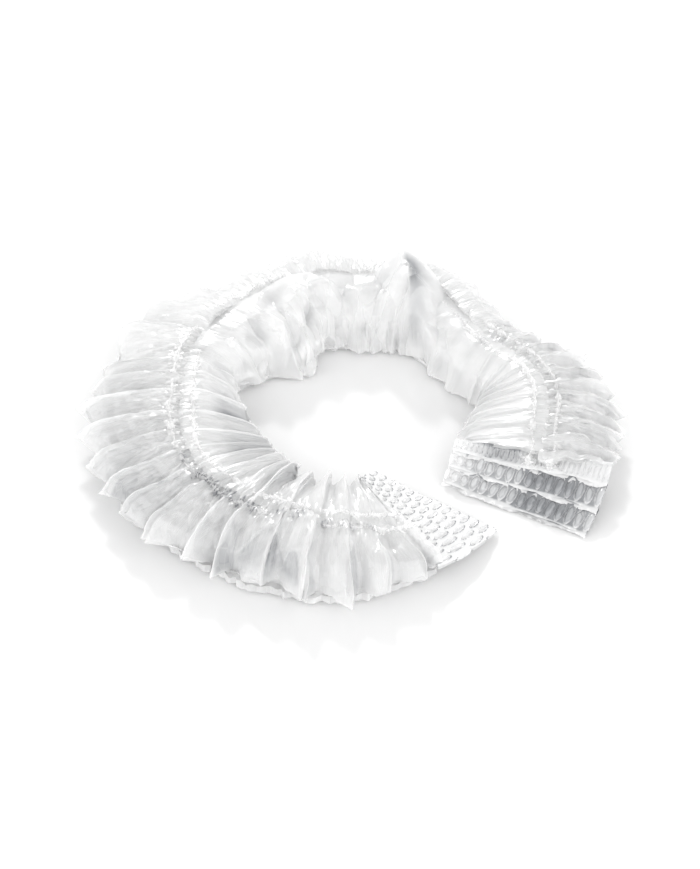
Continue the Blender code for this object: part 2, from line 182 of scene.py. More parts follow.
# What differs between the two sides of the strip
sides = {
    "outer": {
        "sign": 1.0,
        "hemShare": 0.86,  # how far out the lower fold lies, as a share of the lip's reach
        "tip": 1.0,  # how far the crests reach beyond the lip, as a share of pleatReach
        "crestWidth": 1.0,  # of the crests' flat tops, as a share of crestBand
        "bandWidth": 0.0,  # of the lower fold where it shows beyond the lip
        "overhang": 1.0,  # how far it hangs over the right seal, as a share
        "hangs": True,  # the lip hangs down further at some pleats than at others
        "strokes": 1.7 * mm,  # how far from the mouth the strokes of painted shade are thickest
        "footShade": 0.30,  # painted shade at the foot of some panels in the first half
        "flatShade": 0.0,  # painted shade on the flat shoulder, which faces up into the light
        "hemSink": 0.4 * mm,  # of the hem where the film stands in large facets
    },
    "inner": {
        "sign": -1.0,
        "hemShare": 0.96,
        "tip": 0.55,
        "crestWidth": 1.7,
        "bandWidth": 1.9 * mm,
        "overhang": 0.35,
        "hangs": False,
        "strokes": 2.4 * mm,
        "footShade": 0.0,
        "flatShade": 1.0,
        "hemSink": 1.3 * mm,
    },
}


# A table's value at places between its rows, on a smooth curve through them
def smoothRead(places, values, at):
    places, values = np.asarray(places, float), np.asarray(values, float)
    at = np.clip(at, places[0], places[-1])
    last = len(places) - 1
    here = np.clip(np.searchsorted(places, at, side="right") - 1, 0, last - 1)
    before, after = np.maximum(here - 1, 0), np.minimum(here + 2, last)
    gap = places[here + 1] - places[here]
    slope = (values[here + 1] - values[before]) / (places[here + 1] - places[before]) * gap
    nextSlope = (values[after] - values[here]) / (places[after] - places[here]) * gap
    t = (at - places[here]) / gap
    return (
        (2 * t**3 - 3 * t**2 + 1) * values[here] + (t**3 - 2 * t**2 + t) * slope
        + (3 * t**2 - 2 * t**3) * values[here + 1] + (t**3 - t**2) * nextSlope
    )


def column(rows, index):
    return [row[index] for row in rows]


def section(name, at):
    return smoothRead(column(sectionRows, 0), column(sectionRows, sectionNames.index(name)), at)


def look(name, at):
    return np.interp(at, column(looksRows, 0), column(looksRows, looksNames.index(name)))


def profile(name, at):
    return np.interp(at, column(profiles[name], 0), column(profiles[name], 1))


# The most that a table's rows for one side come to here. Each row's amount fades to nothing over
# its half-width, and the larger blunt is, the broader is its full amount
def nearRows(rows, side, at, blunt):
    most = np.zeros(at.shape)
    for rowSide, rowAt, spread, amount in rows:
        if rowSide == side:
            fade = np.clip(blunt - blunt * np.abs(at - rowAt) / spread, 0.0, 1.0)
            most = np.maximum(most, amount * fade)
    return most


# The mouth line as close points, with the way outwards at each
def makeRoute():
    steps = 720
    span = 4  # steps on each side that the direction is taken over
    turn = np.linspace(0.0, 1.0, steps + 1)
    angle = np.radians(strip["startAngle"] - turn * strip["totalTurn"])
    radius = strip["ringRadius"] * smoothRead(column(routeRows, 0), column(routeRows, 1), turn)
    points = np.stack([radius * np.cos(angle), radius * np.sin(angle)], 1)
    legs = np.linalg.norm(np.diff(points, axis=0), axis=1)
    reached = np.concatenate([[0.0], np.cumsum(legs)])
    index = np.arange(steps + 1)
    run = points[np.minimum(index + span, steps)] - points[np.maximum(index - span, 0)]
    run /= np.linalg.norm(run, axis=1)[:, None]
    outwards = np.stack([-run[:, 1], run[:, 0]], 1)
    share = reached / reached[-1]
    return {"points": points, "share": share, "outwards": outwards, "length": reached[-1]}


# Points of the strip, from shares of its length, distances across it and heights
def place(at, across, height):
    share, points, outwards = route["share"], route["points"], route["outwards"]
    px, py = np.interp(at, share, points[:, 0]), np.interp(at, share, points[:, 1])
    nx, ny = np.interp(at, share, outwards[:, 0]), np.interp(at, share, outwards[:, 1])
    size = np.hypot(nx, ny)
    beyond = (at - np.clip(at, 0.0, 1.0)) * route["length"]  # straight on past the ends
    x = px + nx / size * across + ny / size * beyond
    y = py + ny / size * across - nx / size * beyond
    return np.stack([x + centre[0], y + centre[1], np.broadcast_to(height, x.shape)], -1)


route = makeRoute()
centre = np.zeros(2)
filmStart = strip["frontSeal"] / route["length"]
filmEnd = 1.0 - strip["rightSeal"] / route["length"]
crestPlaces = [filmStart] + column(pleatRows, 0) + [filmEnd]
elasticAcross = strip["mouthGap"] / 2 + strip["seatWidth"] / 2

# The CAD model is centred on the floor, so the C's centre is found from its outer elastic
elasticLine = place(np.linspace(filmStart, filmEnd, 400), elasticAcross, 0.0)[:, :2]
elasticLow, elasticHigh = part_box("elastic_outer")
centre = (np.array(elasticLow[:2]) + np.array(elasticHigh[:2])) / 2
centre = centre - (elasticLine.min(0) + elasticLine.max(0)) / 2
print("strip: length %.1f mm, centre at %.2f, %.2f mm" % (route["length"] / mm, *(centre / mm)))


# One zigzag along the strip with uneven steps: gathers that fade away from the elastic
def zigzag(distance, pitch, dice):
    knots, heights, at, sign = [], [], -2 * pitch, 1
    while at < route["length"] + 2 * pitch:
        knots.append(at)
        heights.append(sign * dice.uniform(0.35, 1.0))
        at += pitch * dice.uniform(0.3, 0.75)
        sign = -sign
    return np.interp(distance, knots, heights)


# A slow random wave along the strip, for what drifts from place to place
def drift(distance, pitch, dice):
    knots = np.arange(-2 * pitch, route["length"] + 3 * pitch, pitch)
    return smoothRead(knots, [dice.uniform(-1.0, 1.0) for _ in knots], distance)


# A random number for each pleat, the same over all of its columns
def perPleat(number, low, high, dice):
    return np.array([dice.uniform(low, high) for _ in crestPlaces])[number]


film = {
    "crestBand": 0.27 * mm,  # half the width of a crest's flat top
    "lean": 0.10,  # how far a knife pleat hangs over, as a share of its pitch
    "skew": 1.0 * mm,  # how far a crest's foot runs off its line
    "uneven": 0.6 * mm,  # how much further some pleats reach than others
    "overhang": 4.5 * mm,  # how far its end hangs over the right seal
    "overhangFrom": 0.925,  # the place along the strip where that starts
    "gathers": ((3.4, 0.55, 15.0), (1.9, 0.40, 9.0), (1.05, 0.30, 5.5)),  # pitch, depth, reach in mm
    "rowSpacing": 0.9,  # below 1 the rows lie closer together towards the lip
    "narrowing": 0.8,  # how much narrower a ply is than the one above, as a share of its sink
    "lipShare": 0.6,  # of pleatDepth that is left free between the lip and the tuck
    "turnIn": 0.25,  # how far the mouth's edge turns in, as a share of half the gap
    "turnDown": 0.3 * mm,
    "rimLift": 0.5 * mm,  # of the edge that curls up at the lip
    "closedHeights": (3.6 * mm, 1.4 * mm),  # of the last two knots where the lip hangs down
    "raisedFully": 5.0 * mm,  # a single fold counts fully from this height on
    "raisedSmooth": 0.85,  # and how much it smooths the pleats on it
    "lipFollow": 0.9,  # how much of the pleats' depth the lip takes up
    "crest": 0.97,  # a fold above this is a crest
    "panel": 0.75,  # and one below this is a panel
    "least": 0.35 * mm,  # height of the lowest ply above the floor
    # the waves of the foot of a lip that hangs down, in mm, and of the lower fold: size and pitch
    "footWaves": ((2.0, 11.0 * mm), (0.4, 4.5 * mm)),
    "foldWaves": (
        (zigzag, 0.8 * mm, 5.5 * mm), (drift, 0.6 * mm, 12.0 * mm), (zigzag, 0.5 * mm, 2.2 * mm)),
    "foldTopWave": (0.5 * mm, 3.1 * mm),
    "foldMargin": 1.2 * mm,  # how far the lower fold stays behind such a lip, and the tuck behind it
    "strokePitch": 1.2 * mm,  # of the strokes of painted shade by the elastic
    "strokeSlant": 0.4,
}

# The slope's section from the mouth's edge to the lip, as knots down it: how far each of the
# middle ones is on the way from the seat to the lip, and how far down it is: as a share of the
# drop, how that changes where the slope is round, and its share of the slack
slopeKnots = (0.0, 0.05, 0.13, 0.36, 0.60, 0.80, 0.93, 1.0)
slopeOut = (0.0, 0.30, 0.62, 0.86, 0.96)
slopeDown = (
    (0.00, 0.00, 0.20), (0.00, 0.00, 0.25), (0.24, -0.08, 1.00), (0.55, -0.19, 0.80),
    (0.82, 0.04, 0.35),
)

# Amounts that change down the slope, from 0 at the mouth's edge to 1 at the lip, or along the strip
profiles = {
    "pleat": ((0.0, 0.05), (0.10, 0.28), (0.36, 0.62), (0.68, 0.92), (1.0, 0.95)),
    "crumple": ((0.0, 0.75), (0.12, 0.88), (0.40, 0.78), (0.70, 0.52), (1.0, 0.36)),
    "shoulderCrumple": ((0.0, 0.8), (0.15, 0.6), (0.25, 0.0)),
    "facet": ((0.0, 0.0), (0.15, 0.4), (0.4, 1.0), (1.0, 0.6)),
    "valleyShade": ((0.0, 0.0), (0.3, 0.3), (0.6, 1.0), (0.93, 0.8), (1.0, 0.0)),
    "panelShade": ((0.0, 0.0), (0.3, 0.3), (0.5, 1.0), (0.93, 1.0), (1.0, 0.2)),
    "footShade": ((0.50, 0.0), (0.72, 1.0), (0.93, 0.8), (1.0, 0.0)),
    "flankShade": ((0.0, 0.0), (0.15, 0.2), (0.4, 1.0), (0.93, 1.0), (1.0, 0.3)),
    "skirtShade": ((0.74, 0.0), (0.86, 1.0), (0.95, 1.0), (1.0, 0.0)),
    "flatShade": ((0.0, 0.10), (0.1, 0.17), (0.3, 0.10), (0.45, 0.0)),
    "overhang": ((0.0, 1.0), (0.10, 0.9), (0.30, 0.5), (0.50, 0.0)),
    "curlAlong": ((0.0, 1.0), (0.2, 1.0), (0.3, 0.5), (1.0, 0.5)),
    "flankAlong": ((0.6, 1.0), (0.8, 0.6)),
}

# How much darker the film is for each reason, mostly painted shade, and a painted highlight where
# negative. PerShade: for each unit of a look's Shade
shades = {
    # painted shade in the pleats' valleys
    "valley": 0.08,
    "valleyPerShade": 0.5,
    # panels, darker at random from pleat to pleat
    "panel": 0.01,
    "panelPerShade": 0.7,
    # painted shade over the single tall folds, whose tops face the light
    "raised": 0.10,
    "flank": 0.32,  # painted shade on the steep side of a knife pleat, turned from the light
    "crest": -0.30,  # painted highlight, where a crest catches the light
    "peakFace": 0.74,  # painted shade on the tallest fold, behind its crest
    "skirt": 0.10,  # painted shade at the foot of a lip that hangs down
    "lower": 0.12,  # painted shade on the folds below the lip
}


# How far the single folds stand above the slope. They fall more gently onwards along the strip
def peakRise(side, at, foot):
    rise = np.zeros(np.broadcast(at, foot).shape)
    for peakSide, peakAt, spread, height, lean in peakRows:
        if peakSide == side:
            offset = (at - peakAt - lean * foot) / spread
            back = np.clip(1.02 - np.hypot(1.2 * offset, 0.02), 0.0, 1.0)
            onwards = np.clip(1.0 - 0.22 * offset - 0.20 * offset ** 2, 0.0, 1.0)
            stands = np.where(offset > 0, onwards, back)
            rise += height * strip["ridgeHeight"] * stands * (1.0 - 0.55 * foot)
    return rise


# Painted shade: how much darker the tallest fold is on the face behind its crest, turned from the light
def peakShade(side, at, foot):
    peakSide, peakAt, spread, height, lean = peakRows[0]
    beside = (at - peakAt - lean * foot) / spread
    face = np.clip(6.0 * beside, 0.0, 1.0) * np.clip(1.6 - 1.3 * beside, 0.0, 1.0)
    amount = (side == peakSide) * shades["peakFace"] * face
    return amount * np.clip(8.0 * foot, 0.0, 1.0) * np.clip(1.3 - 1.1 * foot, 0.0, 1.0)


# How deep the hollows are here, in metres, and how much painted shade darkens the film inside them
def dents(side, at, foot):
    depth = np.zeros(np.broadcast(at, foot).shape)
    inside = np.zeros(depth.shape)
    for dentSide, dentAt, spread, tip, bottom, size, dark in dentRows:
        if dentSide == side:
            down = np.clip((foot - tip) / (bottom - tip), 0.0, 1.0)
            aside = 1.0 - np.abs(at - dentAt) / (spread * (0.12 + 0.88 * down))
            under = np.clip((bottom + 0.07 - foot) / 0.13, 0.0, 1.0)
            amount = np.clip(8.0 * aside, 0.0, 1.0) * np.clip(6.0 * down, 0.0, 1.0) * under
            depth = np.maximum(depth, amount * size * mm * (0.4 + 0.6 * down))
            inside = np.maximum(inside, amount * dark)
    return depth, inside


# The columns of one side: share of length, fold from -1 to 1, the pleats' size and number, and
# where the steep side of a knife pleat is
def filmColumns(side, total, dice):
    phases = (0.0, 0.06, 0.10, 0.20, 0.30, 0.36, 0.50, 0.65, 0.78, 0.90, 0.955, 0.965, 1.0)
    sizes = [0.0] + column(pleatRows, 1) + [0.0]
    at, fold, size, number, steep = [], [], [], [], []
    for index, (start, end) in enumerate(zip(crestPlaces, crestPlaces[1:])):
        gap = end - start
        count = max(8, round(total * gap / (filmEnd - filmStart)))
        phase = np.arange(count) / count
        crisp = float(look(side + "Crisp", start + 0.5 * gap))
        wide = sides[side]["crestWidth"]
        band = min(0.15, wide * film["crestBand"] / (gap * route["length"]))
        lean = film["lean"] * crisp * dice.uniform(0.2, 1.6)
        bend = dice.uniform(-0.2, 0.2)
        knifeAt = (
            0.0, band, band + 0.02 - 0.3 * lean, 0.12 - lean, 0.22 - 0.4 * lean, 0.30, 0.42,
            0.56, 0.70, 0.86, 1.0 - band, 1.008 - band, 1.0,
        )
        knifeFold = (
            1.12, 1.02, 0.80, -0.1, -0.85, -1.0, bend / 2 - 0.78, bend - 0.20, bend + 0.28,
            bend / 2 + 0.70, 0.84, 1.02, 1.12,
        )
        turned = start < strip["turningPlace"]
        onwards = 1.0 - phase if turned else phase
        knife = np.interp(onwards, phases, knifeAt)
        knife = 1.0 - knife if turned else knife
        wave = np.cos(2 * np.pi * np.interp(onwards, [0.0, 0.3, 1.0], [0.0, 0.5, 1.0]))
        at += list(start + gap * (crisp * knife + (1 - crisp) * phase))
        fold += list(crisp * np.interp(onwards, phases, knifeFold) + (1 - crisp) * wave)
        size += list(sizes[index] + (sizes[index + 1] - sizes[index]) * phase)
        number += [index] * count
        steep += list(crisp * ((onwards > 0.08) & (onwards < 0.31)))
    at, fold, size = np.array(at + [filmEnd]), np.array(fold + [1.0]), np.array(size + [0.0])
    return at, fold, size, np.array(number + [number[-1]]), np.array(steep + [0.0])


# The smooth form of one side's slope, from the mouth to the lip: a flat shoulder, a steep flank
# and a curled rim. closed: 1 where the lip hangs to the floor
def slopeForm(side, at, rows, sink, closed):
    wall, ply = strip["wall"], strip["plyStep"]
    ridge = strip["ridgeHeight"] * section("ridge", at) + wall / 2 - sink
    reach = strip["halfWidth"] * section(side, at) - film["narrowing"] * sink
    slack = strip["billow"] * section(side + "Slack", at)
    tuckHeight = wall / 2 + 2 * ply
    lipRise = strip["lipRise"] * section(side + "Lip", at)
    lip = tuckHeight + film["lipShare"] * strip["pleatDepth"] + lipRise
    top = lip + ply + wall / 2 - sink
    drop, bulge = ridge - top, look(side + "Round", at)
    rim = strip["mouthGap"] / 2 + 0 * reach
    seat = strip["mouthGap"] / 2 + strip["seatWidth"]
    across = [-film["turnIn"] * rim, rim, *[seat + out * (reach - seat) for out in slopeOut], reach]
    height = [ridge - film["turnDown"] + slopeDown[0][2] * slack]
    for down, rounder, loose in slopeDown:
        height.append(ridge - (down + rounder * bulge) * drop + loose * slack)
    curl = film["rimLift"] * profile("curlAlong", at)
    for level, low in zip((top + 0.1 * slack, top + curl), film["closedHeights"]):
        height.append(level + closed * (low - level))
    ownKnot = np.eye(len(slopeKnots))
    weights = np.stack([smoothRead(slopeKnots, part, rows) for part in ownKnot], 1)
    return {
        "reach": reach, "tuckHeight": tuckHeight, "lip": lip, "top": top, "foot": height[-1],
        "across": weights @ np.array(across), "height": weights @ np.array(height),
    }


# What comes below the lip as stops on the way: how many rows lead to each, how far across and how
# high it is. They are the lip's underside, the tuck, the lower fold and the underside
def lowerStops(side, at, form, closed, lipEdge, lipLift, dice):
    own, wall, ply = sides[side], strip["wall"], strip["plyStep"]
    reach, foot, distance = form["reach"], form["foot"], at * route["length"]
    hem = reach * own["hemShare"]
    hemEdge = hem
    for wave, size, pitch in film["foldWaves"]:
        hemEdge = hemEdge + size * wave(distance, pitch, dice)
    peek = np.maximum(nearRows(peekRows, side, at, 1.6), look("innerBand", at) * own["bandWidth"])
    hemEdge = hemEdge + np.where(peek > 0, np.clip(peek / mm, 0.0, 1.0) * (reach - hem) + peek, 0.0)
    hidden = np.minimum(hemEdge, reach - film["foldMargin"])  # where the lip hangs over the lower fold
    hemEdge = hemEdge + np.clip(1.4 * closed, 0.0, 1.0) * (hidden - hemEdge)
    size, pitch = film["foldTopWave"]
    hemTop = wall + ply + size * zigzag(distance, pitch, dice)
    tuck = hem - strip["tuckShare"] * reach
    tuck = tuck + closed * (hemEdge - film["foldMargin"] - tuck)
    tuckHeight = form["tuckHeight"]
    lipDown = form["lip"] - 0.3 * mm + 0.8 * lipLift
    return (
        (3, lipEdge - 0.5 * mm, np.minimum(form["top"] - 0.25 * ply + lipLift, foot - 0.1 * mm)),
        (3, lipEdge - 1.3 * mm, np.minimum(lipDown, foot - 0.3 * mm)),
        (4, tuck, np.minimum(tuckHeight + 0.1 * lipLift, foot - 0.4 * mm)),
        (2, tuck - 0.5 * mm, np.minimum((tuckHeight + wall / 2 + ply) / 2, foot - 0.5 * mm)),
        (7, hemEdge, np.minimum(hemTop, foot + 0.3 * mm)),
        (2, hemEdge + 0.2 * mm, 0.9 * mm + 0 * tuck),
        (2, 0.7 * hem, film["least"] + 0 * tuck),
        (3, 0.0 * hem, film["least"] + 0 * tuck),
    )


# How dark each point of the slope is: painted shade in its valleys, dents and gathers, on its steep
# flanks, tall folds, flat shoulder and a hanging lip's foot, painted highlights on its crests, and
# panels darker at random
def slopeShade(side, at, share, away, fold, number, flank, closed, raised, inside, dice):
    own, distance = sides[side], at * route["length"]
    patches = np.clip(0.5 + 0.9 * drift(distance, 6 * mm, dice), 0.0, 1.2)
    valley = np.clip(-1.4 * fold - 0.1, 0.0, 1.0) * profile("valleyShade", share) * patches
    # the look's amount of painted shade in the hollows and of random darkness on the panels
    plies = look(side + "Shade", at)
    panel = perPleat(number, 0.3, 1.1, dice) ** 2 * (fold < film["panel"])
    deepFoot = perPleat(number, 0.0, 1.0, dice) ** 2 * (fold < film["panel"]) * (at < 0.45)
    footShare = share - 0.10 * drift(distance, 2.5 * mm, dice)
    shade = valley * (shades["valley"] + shades["valleyPerShade"] * plies)
    shade = shade + panel * profile("panelShade", share) * (shades["panel"] + shades["panelPerShade"] * plies)
    shade = shade + inside + own["footShade"] * deepFoot * profile("footShade", footShare)
    shade = shade + shades["raised"] * raised + peakShade(side, at, share)

    # painted shade in strokes by the elastic, where many plies crowd, and lines along the pleats:
    # painted shade on the steep flanks and a painted highlight on the crests
    slanted = distance + film["strokeSlant"] * away
    strokes = np.clip(2.2 * zigzag(slanted, film["strokePitch"], dice), 0.0, 1.0)
    near = np.clip(1.6 - np.abs(away - own["strokes"]) / own["strokes"], 0.0, 1.0)
    lines = shades["flank"] * flank * profile("flankAlong", at) + shades["crest"] * (fold > film["crest"])
    shade = shade + nearRows(crowdRows, side, at, 2.0) * strokes * near
    shade = shade + lines * profile("flankShade", share) * (1.0 - raised)
    shade = shade + shades["skirt"] * profile("skirtShade", share) * closed
    return shade + own["flatShade"] * profile("flatShade", share) * look(side + "Round", at)


# One side of the bag as rows of points, from the mouth's edge over the lip and the two folds
# below it to the middle of the underside. sink: how far below the uppermost ply it lies
def filmSide(side, total, topRows, sink, seed):
    dice, unequal = random.Random(seed), random.Random(seed + 100)
    own = sides[side]
    at, fold, size, number, flank = filmColumns(side, total, dice)
    distance = at * route["length"]
    hang = np.interp(at, crestPlaces, [unequal.uniform(0.35, 1.0) for _ in crestPlaces])
    closed = look(side + "Closed", at) * (hang if own["hangs"] else 1.0)
    rows = np.linspace(0.0, 1.0, topRows) ** film["rowSpacing"]
    share = rows[:, None]
    form = slopeForm(side, at, rows, sink, closed)
    across, height = form["across"], form["height"]
    run, rise = np.gradient(across, axis=0), np.gradient(height, axis=0)
    steep = np.hypot(run, rise)
    legs = np.hypot(np.diff(across, axis=0), np.diff(height, axis=0))
    away = np.concatenate([[0 * at], np.cumsum(legs, axis=0)])
    risen = peakRise(side, at[None, :], share)
    raised = np.clip(risen / film["raisedFully"], 0.0, 1.0)

    # the pleats: how deep they are down the slope, and how their crests run off their lines
    depth = strip["pleatDepth"] * section("depth", at)
    swing = np.where(fold > 0, size, 1.0) * look(side + "Depth", at)
    lift = depth * swing * fold * profile("pleat", share) * (1.0 - film["raisedSmooth"] * raised)
    skews = [0.0] + [dice.uniform(-1.0, 1.0) for _ in pleatRows] + [0.0]
    bends = [0.0] + [dice.uniform(-1.0, 1.0) for _ in pleatRows] + [0.0]
    skew = film["skew"] * (share - 0.25) * np.interp(at, crestPlaces, skews)
    skew = skew + 0.35 * film["skew"] * np.sin(6.0 * share) * np.interp(at, crestPlaces, bends)

    # the gathers: finer near the elastic, running together further down
    for pitch, gatherDepth, gatherReach in film["gathers"]:
        wander = 3.0 * drift(distance, 9 * mm, dice)
        bend = 0.35 * pitch * mm * np.sin(away / (1.1 * pitch * mm) + wander)
        fade = np.exp(-((away / (gatherReach * mm)) ** 1.6))
        patch = (0.75 + 0.5 * drift(distance, 5 * mm, dice)) * look(side + "Gather", at)
        lift = lift + gatherDepth * mm * patch * fade * zigzag(distance + bend, pitch * mm, dice)
    hollow, inside = dents(side, at[None, :], share)
    lift = lift - hollow

    # the lip: its crests reach out further, some pleats more than others, and its foot is ragged
    tips = strip["pleatReach"] * own["tip"] * swing * fold
    outMore = film["uneven"] * perPleat(number, -1.0, 1.0, dice)
    ragged = 0.0
    for waveSize, pitch in film["footWaves"]:
        ragged = ragged + waveSize * zigzag(distance, pitch, dice)
    outMore = outMore + closed * mm * ragged
    lipPush = tips * np.clip((share - 0.55) / 0.45, 0.0, 1.0) ** 1.5
    lipPush = lipPush + outMore * np.clip((share - 0.75) / 0.25, 0.0, 1.0)
    rowsAt = list(at + 0 * share + skew / route["length"])
    rowsAcross = list(across - rise / steep * lift + lipPush)
    rowsHeight = list(height + risen + run / steep * lift)
    lipLift = film["lipFollow"] * depth * swing * fold
    stops = lowerStops(side, at, form, closed, form["reach"] + tips + outMore, lipLift, dice)
    for count, nextAcross, nextHeight in (stops[:2] if sink > 0 else stops):
        startAcross, startHeight = rowsAcross[-1], rowsHeight[-1]
        for step in range(1, count + 1):
            rowsAt.append(rowsAt[-1])
            rowsAcross.append(startAcross + (nextAcross - startAcross) * step / count)
            rowsHeight.append(startHeight + (nextHeight - startHeight) * step / count)

    # its end hangs over the right seal
    rowsAt, rowsAcross = np.clip(np.array(rowsAt), filmStart, filmEnd), np.array(rowsAcross)
    reached = np.clip((rowsAt - film["overhangFrom"]) / (filmEnd - film["overhangFrom"]), 0.0, 1.0) ** 2
    over = profile("overhang", np.arange(len(rowsAt)) / topRows)[:, None] * own["overhang"]
    over = over * (0.8 + 0.3 * np.sin(rowsAcross / (1.3 * mm)))
    rowsAt = rowsAt + film["overhang"] * over * reached / route["length"]
    points = place(rowsAt, own["sign"] * rowsAcross, np.maximum(np.array(rowsHeight), film["least"]))

    # how crumpled it is, how far it stands in facets, and how much painted shade darkens it, also under
    # the lip
    below = np.ones((len(points) - topRows, 1))
    shoulder = profile("shoulderCrumple", share) * look(side + "Gather", at)
    crumple = np.maximum(profile("crumple", share) * look(side + "Crush", at), shoulder)
    crumple = crumple * (1.0 - 0.6 * inside - 0.5 * raised) * np.where(fold > film["crest"], 0.4, 1.0)
    crumple = np.concatenate([crumple, 0.4 * (1.0 - closed) * below])
    crumple[-5:] = 0.0
    facet = np.concatenate([profile("facet", share) * look(side + "Facet", at), 0 * at * below])
    shade = slopeShade(side, at, share, away, fold, number, flank, closed, raised, inside, dice)
    shade = np.concatenate([shade, shades["lower"] * (1.0 - closed) * below])
    return points, distance, {"crumple": crumple, "facet": facet, "shade": shade}


# A grid of points as a mesh, with cloth coordinates in metres as its UV map and its attributes
def gridMesh(name, points, distance, fields):
    rows, columns = points.shape[:2]
    run = np.linalg.norm(np.diff(points, axis=0), axis=2)
    away = np.concatenate([np.zeros((1, columns)), np.cumsum(run, axis=0)])
    corner = np.arange(rows * columns).reshape(rows, columns)
    corners = (corner[:-1, :-1], corner[:-1, 1:], corner[1:, 1:], corner[1:, :-1])
    faces = np.stack(corners, -1).reshape(-1, 4)
    mesh = bpy.data.meshes.new(name)
    mesh.vertices.add(rows * columns)
    mesh.vertices.foreach_set("co", points.astype(np.float32).ravel())
    mesh.loops.add(faces.size)
    mesh.loops.foreach_set("vertex_index", faces.astype(np.int32).ravel())
    mesh.polygons.add(len(faces))
    mesh.polygons.foreach_set("loop_start", np.arange(len(faces), dtype=np.int32) * 4)
    mesh.update(calc_edges=True)
    cloth = np.stack([np.broadcast_to(distance, away.shape), away], -1).reshape(-1, 2)
    uv = mesh.uv_layers.new(name="cloth")
    uv.data.foreach_set("uv", cloth[faces.ravel()].astype(np.float32).ravel())
    for field, values in fields.items():
        attribute = mesh.attributes.new(field, "FLOAT", "POINT")
        attribute.data.foreach_set("value", np.broadcast_to(values, away.shape).astype(np.float32).ravel())
    mesh.validate()
    piece = bpy.data.objects.new(name, mesh)
    bpy.context.scene.collection.objects.link(piece)
    return piece


# The kinds of node that come again and again, with their settings
sums, vectors, axes3, joined = (
    "ShaderNodeMath", "ShaderNodeVectorMath", "ShaderNodeSeparateXYZ", "ShaderNodeCombineXYZ",
)
ranges, noises, reads, stores = (
    "ShaderNodeMapRange", "ShaderNodeTexNoise", "GeometryNodeInputNamedAttribute",
    "GeometryNodeStoreNamedAttribute",
)
plus, minus, times, dividedBy, timesPlus, toAndFro, power = (
    (sums, {"operation": name}) for name in (
        "ADD", "SUBTRACT", "MULTIPLY", "DIVIDE", "MULTIPLY_ADD", "PINGPONG", "POWER"))
vectorPlus, vectorMinus, vectorTimes, vectorTimesPlus, scaled, dotted = (
    (vectors, {"operation": name}) for name in (
        "ADD", "SUBTRACT", "MULTIPLY", "MULTIPLY_ADD", "SCALE", "DOT_PRODUCT"))
flatNoises = (noises, {"noise_dimensions": "2D"})
smoothRanges = (ranges, {"interpolation_type": "SMOOTHSTEP"})


# One node. Its kind is a type, or a type with its settings; its inputs are in the node's order, or
# one dictionary by name. An input is a value, a socket, or a node, which stands for its first output
def addNode(tree, kind, *inputs, **settings):
    kind, settings = kind if isinstance(kind, tuple) else (kind, settings)
    node = tree.nodes.new(kind)
    for name, value in settings.items():
        setattr(node, name, value)
    named = inputs[0] if inputs and isinstance(inputs[0], dict) else dict(enumerate(inputs))
    for key, value in named.items():
        if isinstance(value, bpy.types.Node):
            value = value.outputs[0]
        if isinstance(value, bpy.types.NodeSocket):
            tree.links.new(value, node.inputs[key])
        else:
            node.inputs[key].default_value = value
    return node


# An empty Geometry Nodes tree with named inputs and their values. With it come the sockets of
# these inputs, and a function that adds a node to it
def newGeometryTree(name, values):
    tree = bpy.data.node_groups.new(name, "GeometryNodeTree")
    tree.interface.new_socket("Geometry", in_out="INPUT", socket_type="NodeSocketGeometry")
    for label, value in values.items():
        kind = "NodeSocketInt" if isinstance(value, int) else "NodeSocketFloat"
        tree.interface.new_socket(label, in_out="INPUT", socket_type=kind).default_value = value
    tree.interface.new_socket("Material", in_out="INPUT", socket_type="NodeSocketMaterial")
    tree.interface.new_socket("Geometry", in_out="OUTPUT", socket_type="NodeSocketGeometry")
    return tree, addNode(tree, "NodeGroupInput").outputs, functools.partial(addNode, tree)


# The end of every tree: its instances made real, and its material
def finishTree(tree, given, geometry):
    real = addNode(tree, "GeometryNodeRealizeInstances", geometry)
    inputs = {"Geometry": real, "Material": given["Material"]}
    addNode(tree, "NodeGroupOutput", addNode(tree, "GeometryNodeSetMaterial", inputs))
    return tree


# Runs a tree on a piece with these input values and keeps the result as a plain mesh
def runNodes(piece, tree, values):
    modifier = piece.modifiers.new(tree.name, "NODES")
    modifier.node_group = tree
    for item in tree.interface.items_tree:
        if item.item_type == "SOCKET" and item.in_out == "INPUT" and item.name in values:
            modifier[item.identifier] = values[item.name]
    bpy.context.view_layer.update()
    result = piece.evaluated_get(bpy.context.evaluated_depsgraph_get())
    mesh = bpy.data.meshes.new_from_object(result)
    piece.modifiers.remove(modifier)
    piece.data = mesh
